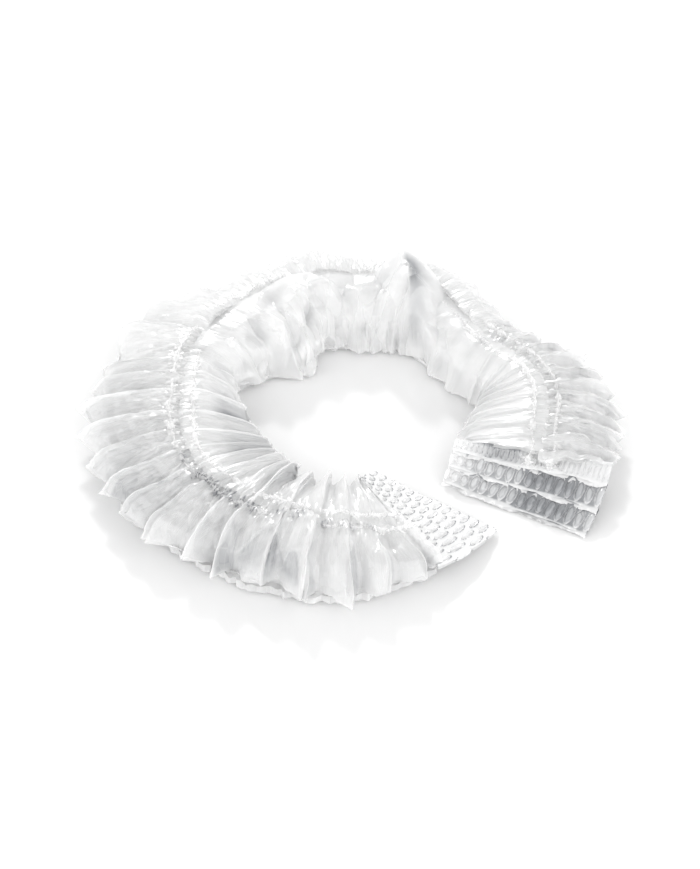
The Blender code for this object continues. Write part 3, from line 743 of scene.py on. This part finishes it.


# Crumples a film along its normals: straight creases cross each other in uneven patches, mostly
# down the slope, and large flat facets stand where the film is slack. Painted shade darkens the
# creases and the hollows between facets a little
def makeCrumpleTree():
    tree, given, add = newGeometryTree("crumpleFilm", {
        "Crease spacing": 1.0 * mm,
        "Crease depth": 0.15,
        "Facet spacing": 10.0 * mm,
        "Facet depth": 0.13,
        "Waver": 2.0 * mm,
        "Groove shade": 0.09,
        "Facet shade": 0.30,
        "Seed": 0.0,
    })
    cloth = add(reads, {"Name": "cloth"}, data_type="FLOAT_VECTOR")
    flat = add(vectorTimes, cloth, (1.0, 0.35, 1.0))
    moved = add(vectorPlus, flat, add(joined, given["Seed"], given["Seed"]))
    noise = add(flatNoises, {"Vector": moved, "Scale": 1 / (5 * mm), "Detail": 2.0})
    centred = add(vectorMinus, noise.outputs["Color"], (0.5, 0.5, 0.5))
    waver = add(scaled, {0: centred, "Scale": given["Waver"]})
    warped = add(vectorPlus, cloth, waver)
    totals, pushes = {}, []
    # the waves of each kind: their angle, spacing and weight
    for kind, amount, waves in (
        ("Crease", "crumple", ((5, 3.6, 0.9), (-9, 2.3, 1.0), (14, 1.5, 0.9), (-62, 3.4, 0.5))),
        ("Facet", "facet", ((18, 1.1, 1.0), (-34, 0.8, 1.0), (66, 1.3, 0.9))),
    ):
        total = 0.0
        for angle, ratio, share in waves:
            spacing = add(times, given[kind + " spacing"], ratio)
            turn = math.radians(angle)
            along = add(dotted, warped, (math.cos(turn), math.sin(turn), 0.0))
            count = add(dividedBy, along.outputs["Value"], spacing)
            level = add(timesPlus, add(toAndFro, count, 0.5), 4.0, -1.0)
            spot = add(noises, {
                "Vector": add(vectorPlus, moved, (0.0, 0.0, ratio)),
                "Scale": add(dividedBy, 0.30, spacing), "Detail": 1.0})
            patch = add(smoothRanges, {"Value": spot, "From Min": 0.38, "From Max": 0.58, "To Min": 0.1})
            part = add(times, add(times, level, patch), ratio * share)
            total = add(plus, part, total)
        totals[kind] = add(times, total, add(reads, {"Name": amount}))
        deep = add(times, totals[kind], given[kind + " depth"])
        pushes.append(add(times, deep, given[kind + " spacing"]))
    push = add(scaled, {0: add("GeometryNodeInputNormal"), "Scale": add(plus, *pushes)})
    crumpled = add("GeometryNodeSetPosition", {"Geometry": given["Geometry"], "Offset": push})
    # painted shade in the creases' grooves and in the facets' hollows
    groove = add(ranges, {"Value": totals["Crease"], "From Min": -0.6, "From Max": -3.2})
    dip = add(ranges, {"Value": totals["Facet"], "From Min": 0.2, "From Max": -1.6})
    shade = add(reads, {"Name": "shade"})
    shade = add(timesPlus, groove, given["Groove shade"], shade)
    shade = add(timesPlus, dip, given["Facet shade"], shade)
    kept = add(stores, {"Geometry": crumpled, "Name": "shade", "Value": shade})
    return finishTree(tree, given, kept)


# An sRGB hex colour in linear light
def colour(text):
    parts = [int(text[i:i + 2], 16) / 255 for i in (1, 3, 5)]
    return (*[c / 12.92 if c <= 0.04045 else ((c + 0.055) / 1.055) ** 2.4 for c in parts], 1.0)


filmLook = {
    "colour": "#FDFDFD",
    "shadeColour": "#85878A",  # the grey of the painted shade, and of random darker panels and shards
    "roughness": 0.20,
    "ior": 1.9,  # above polyethylene's 1.51, since a stack of plies reflects more than one does
    "facingAlpha": 0.35,  # one thin ply, seen square on
    "edgeAlpha": 0.86,  # and along its surface
    "shardWidth": 1.9 * mm,
    "shardStretch": 0.12,  # they are this much shorter across than down the slope
    "shardTilt": 0.52,  # slope of the steepest
    # the size of each kind of shard, the painted shade of its creases (a painted highlight where
    # negative), and how dark its darkest shard is at random
    "shards": ((1.0, 0.08, 0.26), (0.40, 0.34, 0.20), (0.26, -0.55, 0.20)),
}


# Blown low-density polyethylene film, heat-sealed and gathered. To the eye it is clear but slightly
# milky: creases part it into long shards that each tilt and glint their own way, and it looks whiter
# along its surface. Painted shade from its shade attribute and its creases makes it greyer and less
# clear, and a painted highlight lightens some creases
def makeFilmMaterial(name, looks):
    material = bpy.data.materials.new(name)
    material.use_nodes = True
    tree = material.node_tree
    tree.nodes.clear()
    add = functools.partial(addNode, tree)
    cloth = add("ShaderNodeUVMap", uv_map="cloth")
    stretched = add("ShaderNodeMapping", {"Vector": cloth, "Scale": (1.0, looks["shardStretch"], 1.0)})
    crumple = add("ShaderNodeAttribute", attribute_name="crumple").outputs["Fac"]
    shade = add("ShaderNodeAttribute", attribute_name="shade").outputs["Fac"]
    height, marks = 0.0, 0.0
    for ratio, lineShade, ownShade in looks["shards"]:
        inputs = {"Vector": stretched, "Scale": 1.0 / (ratio * looks["shardWidth"])}
        shard = add("ShaderNodeTexVoronoi", inputs, voronoi_dimensions="2D")
        border = add("ShaderNodeTexVoronoi", inputs, voronoi_dimensions="2D", feature="DISTANCE_TO_EDGE")
        offset = add(vectorMinus, stretched, shard.outputs["Position"])
        lean = add(vectorTimesPlus, shard.outputs["Color"], (2.0, 2.0, 0.0), (-1.0, -1.0, 0.0))
        tilted = add(dotted, offset, lean).outputs["Value"]
        height = add(plus, tilted, height)
        # its creases: painted shade, or a painted highlight where lineShade is negative; and some shards
        # darker at random
        line = add(ranges, {
            "Value": border.outputs["Distance"], "From Min": 0.01, "From Max": 0.08,
            "To Min": lineShade, "To Max": 0.0})
        dark = add(axes3, shard.outputs["Color"]).outputs["Z"]
        dark = add(power, dark, 3.0)
        marks = add(plus, line, add(timesPlus, dark, ownShade, marks))
    deep = add(times, height, crumple)
    bump = add("ShaderNodeBump", {"Height": deep, "Strength": 1.0, "Distance": looks["shardTilt"]})
    # the painted shade mixes the colour towards grey and makes the film less clear
    amount = add("ShaderNodeClamp", add(timesPlus, marks, crumple, shade))
    base = add("ShaderNodeMix", {
        "Factor": amount, 6: colour(looks["colour"]), 7: colour(looks["shadeColour"])}, data_type="RGBA")
    facing = add("ShaderNodeLayerWeight", {"Blend": 0.35, "Normal": bump})
    alpha = add(ranges, {
        "Value": facing.outputs["Facing"], "To Min": looks["facingAlpha"], "To Max": looks["edgeAlpha"]})
    thicker = add(sums, amount, 0.5, alpha, operation="MULTIPLY_ADD", use_clamp=True)
    shader = add("ShaderNodeBsdfPrincipled", {
        "Base Color": base.outputs[2], "Roughness": looks["roughness"], "IOR": looks["ior"],
        "Alpha": thicker, "Normal": bump})
    add("ShaderNodeOutputMaterial", {"Surface": shader})
    return material


def handOver(piece, node):
    piece.data.set_sharp_from_angle(angle=math.radians(28))
    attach(piece, "root")
    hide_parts(node)
    triangles = sum(len(face.vertices) - 2 for face in piece.data.polygons)
    area = sum(face.area for face in piece.data.polygons)
    print("%s: %d triangles, %.0f cm2" % (piece.name, triangles, area * 10000))


clearFilm = makeFilmMaterial("blownPolyethyleneFilm", filmLook)
crumpleTree = makeCrumpleTree()
for name, side, total, topRows, sink, seed in (
    ("film_outer", "outer", 990, 66, 0.0, 21),
    ("film_inner", "inner", 990, 66, 0.0, 22),
    ("film_outer_plies", "outer", 560, 44, 1.1 * mm, 23),
    ("film_inner_plies", "inner", 560, 44, 1.1 * mm, 24),
):
    piece = gridMesh(name, *filmSide(side, total, topRows, sink, seed))
    if side == "inner":
        piece.data.flip_normals()
    runNodes(piece, crumpleTree, {"Seed": 0.1 * seed, "Material": clearFilm})
    handOver(piece, "film")

elastic = {
    "hemRadius": 0.38 * mm,
    "hemSpread": 3.4,  # how much wider than high the hem is
    "hemStep": 0.17 * mm,
    "gatherPitch": 1.15 * mm,
    "gatherDepth": 0.30 * mm,
    "lumpPitch": 4.0 * mm,
    "lumpDepth": 0.50 * mm,
    "strokePitch": 0.9 * mm,  # of the dark strokes where many plies crowd
    "flapPitch": 0.8 * mm,
    "flapWidth": 4.2 * mm,
    "flapHeight": 1.1 * mm,
    "flapTilt": 0.8,  # radians, to each side
    "rise": 0.10 * mm,  # of the hem's middle above the film that it gathers
    "overhang": 0.9,  # how far it follows the film over the right seal
    "frillSink": 0.2 * mm,
    "sway": (0.45 * mm, 4.5 * mm),  # its waves across, size and pitch
    "bob": (0.35 * mm, 6.0 * mm),  # and up and down
    "endDrop": 0.9 * mm,  # over the right seal
}


# A gathered hem along a line: a flattened tube round the elastic, lumpy and sharply gathered
def makeHemTree():
    tree, given, add = newGeometryTree("gatheredHem", {
        "Hem radius": elastic["hemRadius"],
        "Hem spread": elastic["hemSpread"],
        "Gather pitch": elastic["gatherPitch"],
        "Gather depth": elastic["gatherDepth"],
        "Lump pitch": elastic["lumpPitch"],
        "Lump depth": elastic["lumpDepth"],
        "Seed": 0.0,
    })
    line = add("GeometryNodeMeshToCurve", given["Geometry"])
    fine = add("GeometryNodeResampleCurve", {"Curve": line, "Length": elastic["hemStep"]}, mode="LENGTH")
    onCurve = add("GeometryNodeSplineParameter").outputs
    marked = add(stores, {"Geometry": fine, "Name": "along", "Value": onCurve["Length"]})
    upright = add("GeometryNodeSetCurveNormal", {"Curve": marked}, mode="Z_UP")
    ring = add("GeometryNodeCurvePrimitiveCircle", {"Resolution": 16, "Radius": given["Hem radius"]})
    rounded = add(stores, {"Geometry": ring, "Name": "around", "Value": onCurve["Factor"]})
    spread = add(joined, 1.0, given["Hem spread"], 1.0)
    oval = add("GeometryNodeTransform", {"Geometry": rounded, "Scale": spread})
    tube = add("GeometryNodeCurveToMesh", {"Curve": upright, "Profile Curve": oval, "Fill Caps": True})

    # the gathers run round the tube a little askew, some deep and some shallow
    along = add(reads, {"Name": "along"})
    around = add(reads, {"Name": "around"})
    where = add(joined, along, given["Seed"], around)
    lumps = add(flatNoises, {
        "Vector": where, "Scale": add(dividedBy, 1.0, given["Lump pitch"]), "Detail": 2.0})
    askew = add(flatNoises, {
        "Vector": where, "Scale": add(dividedBy, 0.3, given["Gather pitch"]), "Detail": 1.0})
    turn = add(sums, add(minus, around, 0.5), operation="ABSOLUTE")
    lean = add(times, add(minus, askew, 0.5), 7.0)
    folds = 0.0
    for ratio, weight in ((1.0, 0.65), (0.47, 0.35)):
        count = add(dividedBy, along, given["Gather pitch"])
        count = add(dividedBy, count, ratio)
        phase = add(plus, add(timesPlus, turn, lean, count), lean)
        wave = add(toAndFro, phase, 0.5)
        folds = add(timesPlus, wave, 2.0 * weight, folds)
    deep = add(times, add(minus, folds, 0.5), given["Gather depth"])
    swell = add(timesPlus, lumps, 2.0, -1.0)
    swell = add(times, swell, given["Lump depth"])
    bulge = add(times, add(plus, deep, swell), 2.0)
    push = add(scaled, {0: add("GeometryNodeInputNormal"), "Scale": bulge})
    gathered = add("GeometryNodeSetPosition", {"Geometry": tube, "Offset": push})
    # painted shade in the grooves between the gathers, and in strokes where many plies crowd
    groove = add(ranges, {"Value": folds, "From Min": 0.45, "From Max": 0.1})
    slant = add(dividedBy, along, elastic["strokePitch"])
    slant = add(plus, add(timesPlus, turn, 1.2, slant), lean)
    stroke = add(ranges, {"Value": add(toAndFro, slant, 0.5), "From Min": 0.25, "From Max": 0.35})
    crowd = add(times, add(reads, {"Name": "crowd"}), stroke)
    shade = add(timesPlus, groove, 0.10, crowd)
    kept = add(stores, {"Geometry": gathered, "Name": "shade", "Value": shade})
    return finishTree(tree, given, kept)


# The frill of an elastic: small flaps of film that stand across a line at uneven angles
def makeFrillTree():
    tree, given, add = newGeometryTree("frill", {
        "Flap pitch": elastic["flapPitch"],
        "Flap width": elastic["flapWidth"],
        "Flap height": elastic["flapHeight"],
        "Flap tilt": elastic["flapTilt"],
        "Seed": 0,
    })
    line = add("GeometryNodeMeshToCurve", given["Geometry"])
    flap = add("GeometryNodeMeshGrid", {
        "Size X": given["Flap width"], "Size Y": given["Flap height"], "Vertices X": 7, "Vertices Y": 5})
    spot = add(axes3, add("GeometryNodeInputPosition")).outputs
    up = add(plus, add(dividedBy, spot["Y"], given["Flap height"]), 0.5)
    aside = add(dividedBy, spot["X"], given["Flap width"])
    droop = add(times, add(times, aside, aside), -2.6)
    flapZ = add(times, add(plus, up, droop), given["Flap height"])
    curl = add(times, given["Flap height"], 0.5)
    curl = add(times, add(times, up, up), curl)
    bent = add("GeometryNodeSetPosition", {
        "Geometry": flap, "Position": add(joined, spot["X"], curl, flapZ)})
    spots = add("GeometryNodeResampleCurve", {
        "Curve": line, "Length": given["Flap pitch"]}, mode="LENGTH")
    facing = add("FunctionNodeAlignRotationToVector", {
        "Vector": add("GeometryNodeInputTangent")}, axis="Y", pivot_axis="Z")
    least = add(times, given["Flap tilt"], -1.0)
    tilts = []
    for number in range(3):
        ownSeed = add(plus, given["Seed"], 10.0 * number)
        tilt = add("FunctionNodeRandomValue", {2: least, 3: given["Flap tilt"], 8: ownSeed})
        tilts.append(tilt.outputs[1])
    lean = add("FunctionNodeEulerToRotation", add(joined, *tilts))
    turned = add("FunctionNodeRotateRotation", {
        "Rotation": facing, "Rotate By": lean}, rotation_space="LOCAL")
    size = add("FunctionNodeRandomValue", {
        0: (0.5, 0.6, 0.25), 1: (1.1, 1.2, 1.0), 8: given["Seed"]}, data_type="FLOAT_VECTOR")
    # painted shade: darker flaps at random, far more where many plies crowd by the elastic
    dark = add("FunctionNodeRandomValue", {8: given["Seed"]}).outputs[1]
    crowd = add(plus, add(reads, {"Name": "crowd"}), 0.05)
    marked = add(stores, {"Geometry": spots, "Name": "shade", "Value": add(times, crowd, dark)})
    flaps = add("GeometryNodeInstanceOnPoints", {
        "Points": marked, "Instance": bent, "Rotation": turned, "Scale": size})
    return finishTree(tree, given, flaps)


# Points as a line of edges with an attribute, which Geometry Nodes turn into a curve
def lineMesh(name, points, field, values):
    mesh = bpy.data.meshes.new(name)
    mesh.from_pydata([tuple(p) for p in points], [(k, k + 1) for k in range(len(points) - 1)], [])
    attribute = mesh.attributes.new(field, "FLOAT", "POINT")
    attribute.data.foreach_set("value", np.asarray(values, np.float32))
    piece = bpy.data.objects.new(name, mesh)
    bpy.context.scene.collection.objects.link(piece)
    return piece


hemTree = makeHemTree()
frillTree = makeFrillTree()
# the hem's painted shade is a darker grey
hemLook = {**filmLook, "shadeColour": "#6A6C6F", "facingAlpha": 0.34, "edgeAlpha": 0.50}
hemFilm = makeFilmMaterial("gatheredPolyethyleneHem", hemLook)  # many plies: nearly white
for side, seed in (("outer", 31), ("inner", 32)):
    dice, own = random.Random(seed), sides[side]
    at = np.linspace(filmStart, filmEnd + elastic["overhang"] * film["overhang"] / route["length"], 420)
    distance = at * route["length"]
    hidden = look(side + "Facet", at)  # it sinks into the mouth where the film stands in large facets
    across = own["sign"] * elasticAcross * (1.0 - 0.5 * np.clip(hidden, 0.0, 1.0))
    across = across + elastic["sway"][0] * drift(distance, elastic["sway"][1], dice)
    height = strip["ridgeHeight"] * section("ridge", at) + elastic["rise"] - own["hemSink"] * hidden
    height = height + elastic["bob"][0] * drift(distance, elastic["bob"][1], dice)
    height = height - elastic["endDrop"] * (at > filmEnd)
    crowd = nearRows(crowdRows, side, at, 2.0)
    for part, tree, sink, seedValue, material in (
        ("hem", hemTree, 0.0, 0.1 * seed, hemFilm),
        ("frill", frillTree, elastic["frillSink"], seed, clearFilm),
    ):
        points = place(at, across, height - sink)
        piece = lineMesh("elastic_" + side + "_" + part, points, "crowd", crowd)
        runNodes(piece, tree, {"Seed": seedValue, "Material": material})
        handOver(piece, "elastic_" + side)

seal = {
    "cell": 0.21 * mm,  # of the grid that the ovals are pressed into
    "plyGap": 0.32 * mm,
    "fray": 0.6 * mm,  # how unevenly the plies end
    "topFray": 0.35,  # and the uppermost one, as a share of that
    "stagger": 0.25 * mm,  # how much further out each ply ends than the one above
    "sag": 0.3 * mm,
    "sagPitch": 4.3 * mm,
    "least": 0.4 * mm,  # height of the lowest ply above the floor
    "edge": 0.5 * mm,  # the band at a tier's end that is brighter, with a painted highlight
    "foot": 1.3 * mm,  # the band at its start that the next tier shades
}

# The crimped ends. Each tier is a stack of plies with rows of ovals pressed into it. begin and
# end: from the strip's end inwards; low and high: its height there; line: how dark the ovals'
# outlines are; shades: how much painted shade it has at distances across, in mm
dishes = {
    "plies": 3, "relief": -0.55 * mm, "line": 1.3,
    "ovalLength": 4.0 * mm, "ovalWidth": 1.9 * mm, "pitchAlong": 5.2 * mm, "pitchAcross": 2.5 * mm,
    "shades": ((-20, 0.30), (-15, 0.80), (-4, 0.95), (-1, 1.3), (8, 1.3), (13, 1.0), (20, 0.75)),
}
frontTiers = ({
    "begin": 0.0 * mm, "end": 16.0 * mm, "low": 1.5 * mm, "high": 5.4 * mm,
    "plies": 4, "relief": 0.42 * mm, "line": 1.8,
    "ovalLength": 3.8 * mm, "ovalWidth": 1.2 * mm, "pitchAlong": 4.3 * mm, "pitchAcross": 2.45 * mm,
    "shades": ((-20, 0.20), (-16, 0.06), (20, 0.06)),
},)
rightTiers = (
    {**dishes, "begin": 0.0 * mm, "end": 5.6 * mm, "low": 0.9 * mm, "high": 3.6 * mm},
    {**dishes, "begin": 4.9 * mm, "end": 10.4 * mm, "low": 3.6 * mm, "high": 6.4 * mm},
    {
        "begin": 9.6 * mm, "end": 14.5 * mm, "low": 6.4 * mm, "high": 8.2 * mm,
        "plies": 3, "relief": 0.30 * mm, "line": 0.5,
        "ovalLength": 3.6 * mm, "ovalWidth": 0.85 * mm, "pitchAlong": 5.0 * mm, "pitchAcross": 1.25 * mm,
        "shades": ((-20, 0.10), (-16, 0.35), (-12, 0.75), (-6, 0.65), (-3, 0.25), (20, 0.25)),
    },
)


# Presses staggered rows of ovals into a sheet, as dishes or as pillows by the sign of the relief.
# Their outlines are grooves, where the plies are welded and look grey; painted shade darkens a
# pillow's outline on one side, and a painted highlight brightens a dish and its rim
def makeOvalTree():
    tree, given, add = newGeometryTree("pressOvals", {
        "Oval length": 3.0 * mm,
        "Oval width": 1.2 * mm,
        "Pitch along": 3.3 * mm,
        "Pitch across": 2.1 * mm,
        "Row shift": 0.5,
        "Relief": 0.4 * mm,
        "Unevenness": 0.35,
        "Line shade": 1.3,
    })
    along, across, press, shade = (
        add(reads, {"Name": name}) for name in ("along", "across", "press", "shade"))
    where = add(joined, along, across, press)
    noise = add(noises, {"Vector": where, "Scale": 1 / (2.6 * mm), "Detail": 2.0})
    waver = add(minus, noise, 0.5)
    rowPlace = add(dividedBy, along, given["Pitch along"])
    rowNumber = add(sums, rowPlace, operation="FLOOR")
    shifted = add(times, rowNumber, given["Row shift"])
    spotPlace = add(dividedBy, across, given["Pitch across"])
    spotPlace = add(plus, spotPlace, shifted)
    reach = 0.0
    for count, pitch, size in (
        (rowPlace, "Pitch along", "Oval length"), (spotPlace, "Pitch across", "Oval width"),
    ):
        uneven = add(timesPlus, waver, given["Unevenness"], count)
        rest = add(sums, uneven, operation="FRACT")
        inMetres = add(times, add(minus, rest, 0.5), given[pitch])
        half = add(times, given[size], 0.5)
        share = add(dividedBy, inMetres, half)
        reach = add(plus, add(times, share, share), reach)
    reach = add(sums, reach, operation="SQRT")
    dome = add(smoothRanges, {
        "Value": reach, "From Min": 0.35, "From Max": 1.0, "To Min": 1.0, "To Max": 0.0})
    rim = add(dividedBy, add(minus, reach, 1.02), 0.18)
    rim = add(sums, rim, operation="ABSOLUTE")
    rim = add(sums, add(minus, 1.0, rim), 0.0, operation="MAXIMUM")
    level = add(timesPlus, rim, -0.6, dome)
    level = add(times, level, given["Relief"])
    level = add(timesPlus, waver, 0.9 * mm, level)
    push = add(scaled, {0: add("GeometryNodeInputNormal"), "Scale": add(times, level, press)})
    moved = add("GeometryNodeSetPosition", {"Geometry": given["Geometry"], "Offset": push})

    # a painted highlight brightens a dish and its raised rim, and a pillow has a dark welded outline,
    # with painted shade mostly on one side
    dished = add(sums, given["Relief"], 0.0, operation="LESS_THAN")
    pillowed = add(sums, given["Relief"], 0.0, operation="GREATER_THAN")
    oneSide = add(ranges, {"Value": share, "From Min": -0.8, "From Max": 0.9, "To Min": 0.15})
    line = add(times, add(times, rim, oneSide), pillowed)
    line = add(times, line, given["Line shade"])
    bright = add(times, add(times, dome, dished), -0.25)
    marks = add(plus, bright, line)
    raisedRim = add(times, rim, dished)
    marks = add(timesPlus, raisedRim, -0.75, marks)
    kept = add(stores, {"Geometry": moved, "Name": "shade", "Value": add(plus, marks, shade)})
    return finishTree(tree, given, kept)


# One ply of a tier as a grid of points, with where each lies along and across the seal
def sealPly(end, inwards, tier, ply, lift, dice):
    outer = strip["halfWidth"] * float(section("outer", end))
    inner = strip["halfWidth"] * float(section("inner", end))
    rows = int((tier["end"] - tier["begin"]) / seal["cell"]) + 1
    columns = int((outer + inner) / seal["cell"]) + 1
    across = np.linspace(-inner, outer, columns)[None, :]
    share = np.linspace(0.0, 1.0, rows)[:, None]
    frays = [dice.uniform(-1, 1) for _ in range(19)]
    fray = seal["fray"] * np.interp(across, np.linspace(-inner, outer, len(frays)), frays)
    begin = tier["begin"] + fray * (seal["topFray"] if ply == 0 else 1.0) - seal["stagger"] * ply
    along = begin + (tier["end"] - begin) * share
    height = tier["low"] + (tier["high"] - tier["low"]) * share ** 0.8 - ply * seal["plyGap"]
    sag = seal["sag"] * np.sin(across / seal["sagPitch"] + 1.9 * ply) * (1 - share)
    height = height + lift * (outer - across) / (outer + inner) + sag
    at = end + inwards * along / route["length"]
    points = place(at, across + 0 * share, np.maximum(height, seal["least"]))
    return points, along, across + 0 * share


ovalTree = makeOvalTree()
crimpLook = {**filmLook, "facingAlpha": 0.70, "edgeAlpha": 0.95}  # welded plies: milky
for endName, end, inwards, tiers, lift, seed in (
    ("front", 0.0, 1, frontTiers, 5.0 * mm, 41), ("right", 1.0, -1, rightTiers, 0.0, 42),
):
    dice = random.Random(seed)
    crimpedFilm = makeFilmMaterial("heatCrimpedPolyethylene_" + endName, crimpLook)
    plies = []
    for tier, ply in ((tier, ply) for tier in tiers for ply in range(tier["plies"])):
        points, along, across = sealPly(end, inwards, tier, ply, lift, dice)
        # painted shade across the seal, deeper where the next tier lies over it, and a painted highlight
        # at the tier's bare edge
        shade = np.interp(across / mm, column(tier["shades"], 0), column(tier["shades"], 1))
        under = np.clip((along - tier["end"] + seal["foot"]) / seal["edge"], 0.0, 1.0)
        bare = np.clip(1.0 - (along - tier["begin"]) / seal["edge"], 0.0, 1.0)
        shade = shade * (1.0 + 0.4 * under) * (1.0 - 0.7 * bare)
        piece = gridMesh("ply", points, across[0], {
            "along": along - tier["begin"], "across": across, "press": 1.0 if ply == 0 else 0.5,
            "shade": shade})
        if inwards < 0:
            piece.data.flip_normals()
        runNodes(piece, ovalTree, {
            "Oval length": tier["ovalLength"], "Oval width": tier["ovalWidth"],
            "Pitch along": tier["pitchAlong"], "Pitch across": tier["pitchAcross"],
            "Relief": tier["relief"], "Line shade": tier["line"], "Material": crimpedFilm})
        plies.append(piece)
    with bpy.context.temp_override(
        active_object=plies[0], selected_editable_objects=plies, selected_objects=plies,
    ):
        bpy.ops.object.join()
    plies[0].name = "end_seal_" + endName + "_plies"
    handOver(plies[0], "end_seal_" + endName)

camera = {
    "elevation": 38.0,
    "distance": 0.60,
    "lens": 103.0,
    "target": (-2.13 * mm, -7.91 * mm, 8.0 * mm),  # from the C's centre
    "shiftY": -0.0052,
}

# A large white sheet on the floor, lit from behind and above by a bright studio, with a low sun
stage = {
    "floorSize": 12.0,
    "floorColour": "#EDEDED",
    "floorRoughness": 0.9,
    "floorSpecular": 0.1,
    "sunEnergy": 1.3,
    "sunAngle": 6.0,
    "sunHighlight": 0.12,
    "sunDirection": (0.10, -0.85, -0.52),
    # the studio's strength: from front to back, and as a share of that from the side to overhead
    "back": {"From Min": -0.5, "From Max": 0.5, "To Min": 2.12, "To Max": 0.92},
    "overhead": {"From Min": 0.60, "From Max": 0.92, "To Min": 1.0, "To Max": 0.42},
}


def makeStage():
    bpy.ops.mesh.primitive_plane_add(size=stage["floorSize"])
    floor = bpy.context.object
    floor.name = "floor"
    material = bpy.data.materials.new("whiteMattSheet")
    material.use_nodes = True
    shader = material.node_tree.nodes["Principled BSDF"]
    shader.inputs["Base Color"].default_value = colour(stage["floorColour"])
    shader.inputs["Roughness"].default_value = stage["floorRoughness"]
    shader.inputs["Specular IOR Level"].default_value = stage["floorSpecular"]
    floor.data.materials.append(material)

    sun = bpy.data.objects.new("key", bpy.data.lights.new("key", "SUN"))
    sun.data.energy = stage["sunEnergy"]
    sun.data.angle = math.radians(stage["sunAngle"])
    sun.data.specular_factor = stage["sunHighlight"]
    sun.rotation_euler = Vector(stage["sunDirection"]).to_track_quat("-Z", "Y").to_euler()
    bpy.context.scene.collection.objects.link(sun)

    world = bpy.data.worlds.new("studio")
    bpy.context.scene.world = world
    world.use_nodes = True
    tree = world.node_tree
    tree.nodes.clear()
    add = functools.partial(addNode, tree)
    where = add(axes3, add("ShaderNodeTexCoord").outputs["Generated"])
    back = add(smoothRanges, {"Value": where.outputs["Y"], **stage["back"]})
    overhead = add(smoothRanges, {"Value": where.outputs["Z"], **stage["overhead"]})
    background = add("ShaderNodeBackground", {
        "Color": (1, 1, 1, 1), "Strength": add(times, back, overhead)})
    add("ShaderNodeOutputWorld", {"Surface": background})

    lens = bpy.data.objects.new("camera", bpy.data.cameras.new("camera"))
    elevation = math.radians(camera["elevation"])
    target = Vector(camera["target"]) + Vector((centre[0], centre[1], 0.0))
    lens.location = target + camera["distance"] * Vector((0.0, -math.cos(elevation), math.sin(elevation)))
    lens.rotation_euler = (target - lens.location).to_track_quat("-Z", "Y").to_euler()
    lens.data.sensor_fit = "VERTICAL"
    lens.data.sensor_height = 36.0
    lens.data.lens = camera["lens"]
    lens.data.shift_y = camera["shiftY"]
    lens.data.clip_start = 0.01
    bpy.context.scene.collection.objects.link(lens)
    bpy.context.scene.camera = lens


makeStage()
bpy.context.scene.view_settings.view_transform = "Standard"
bpy.context.scene.cycles.transparent_max_bounces = 48
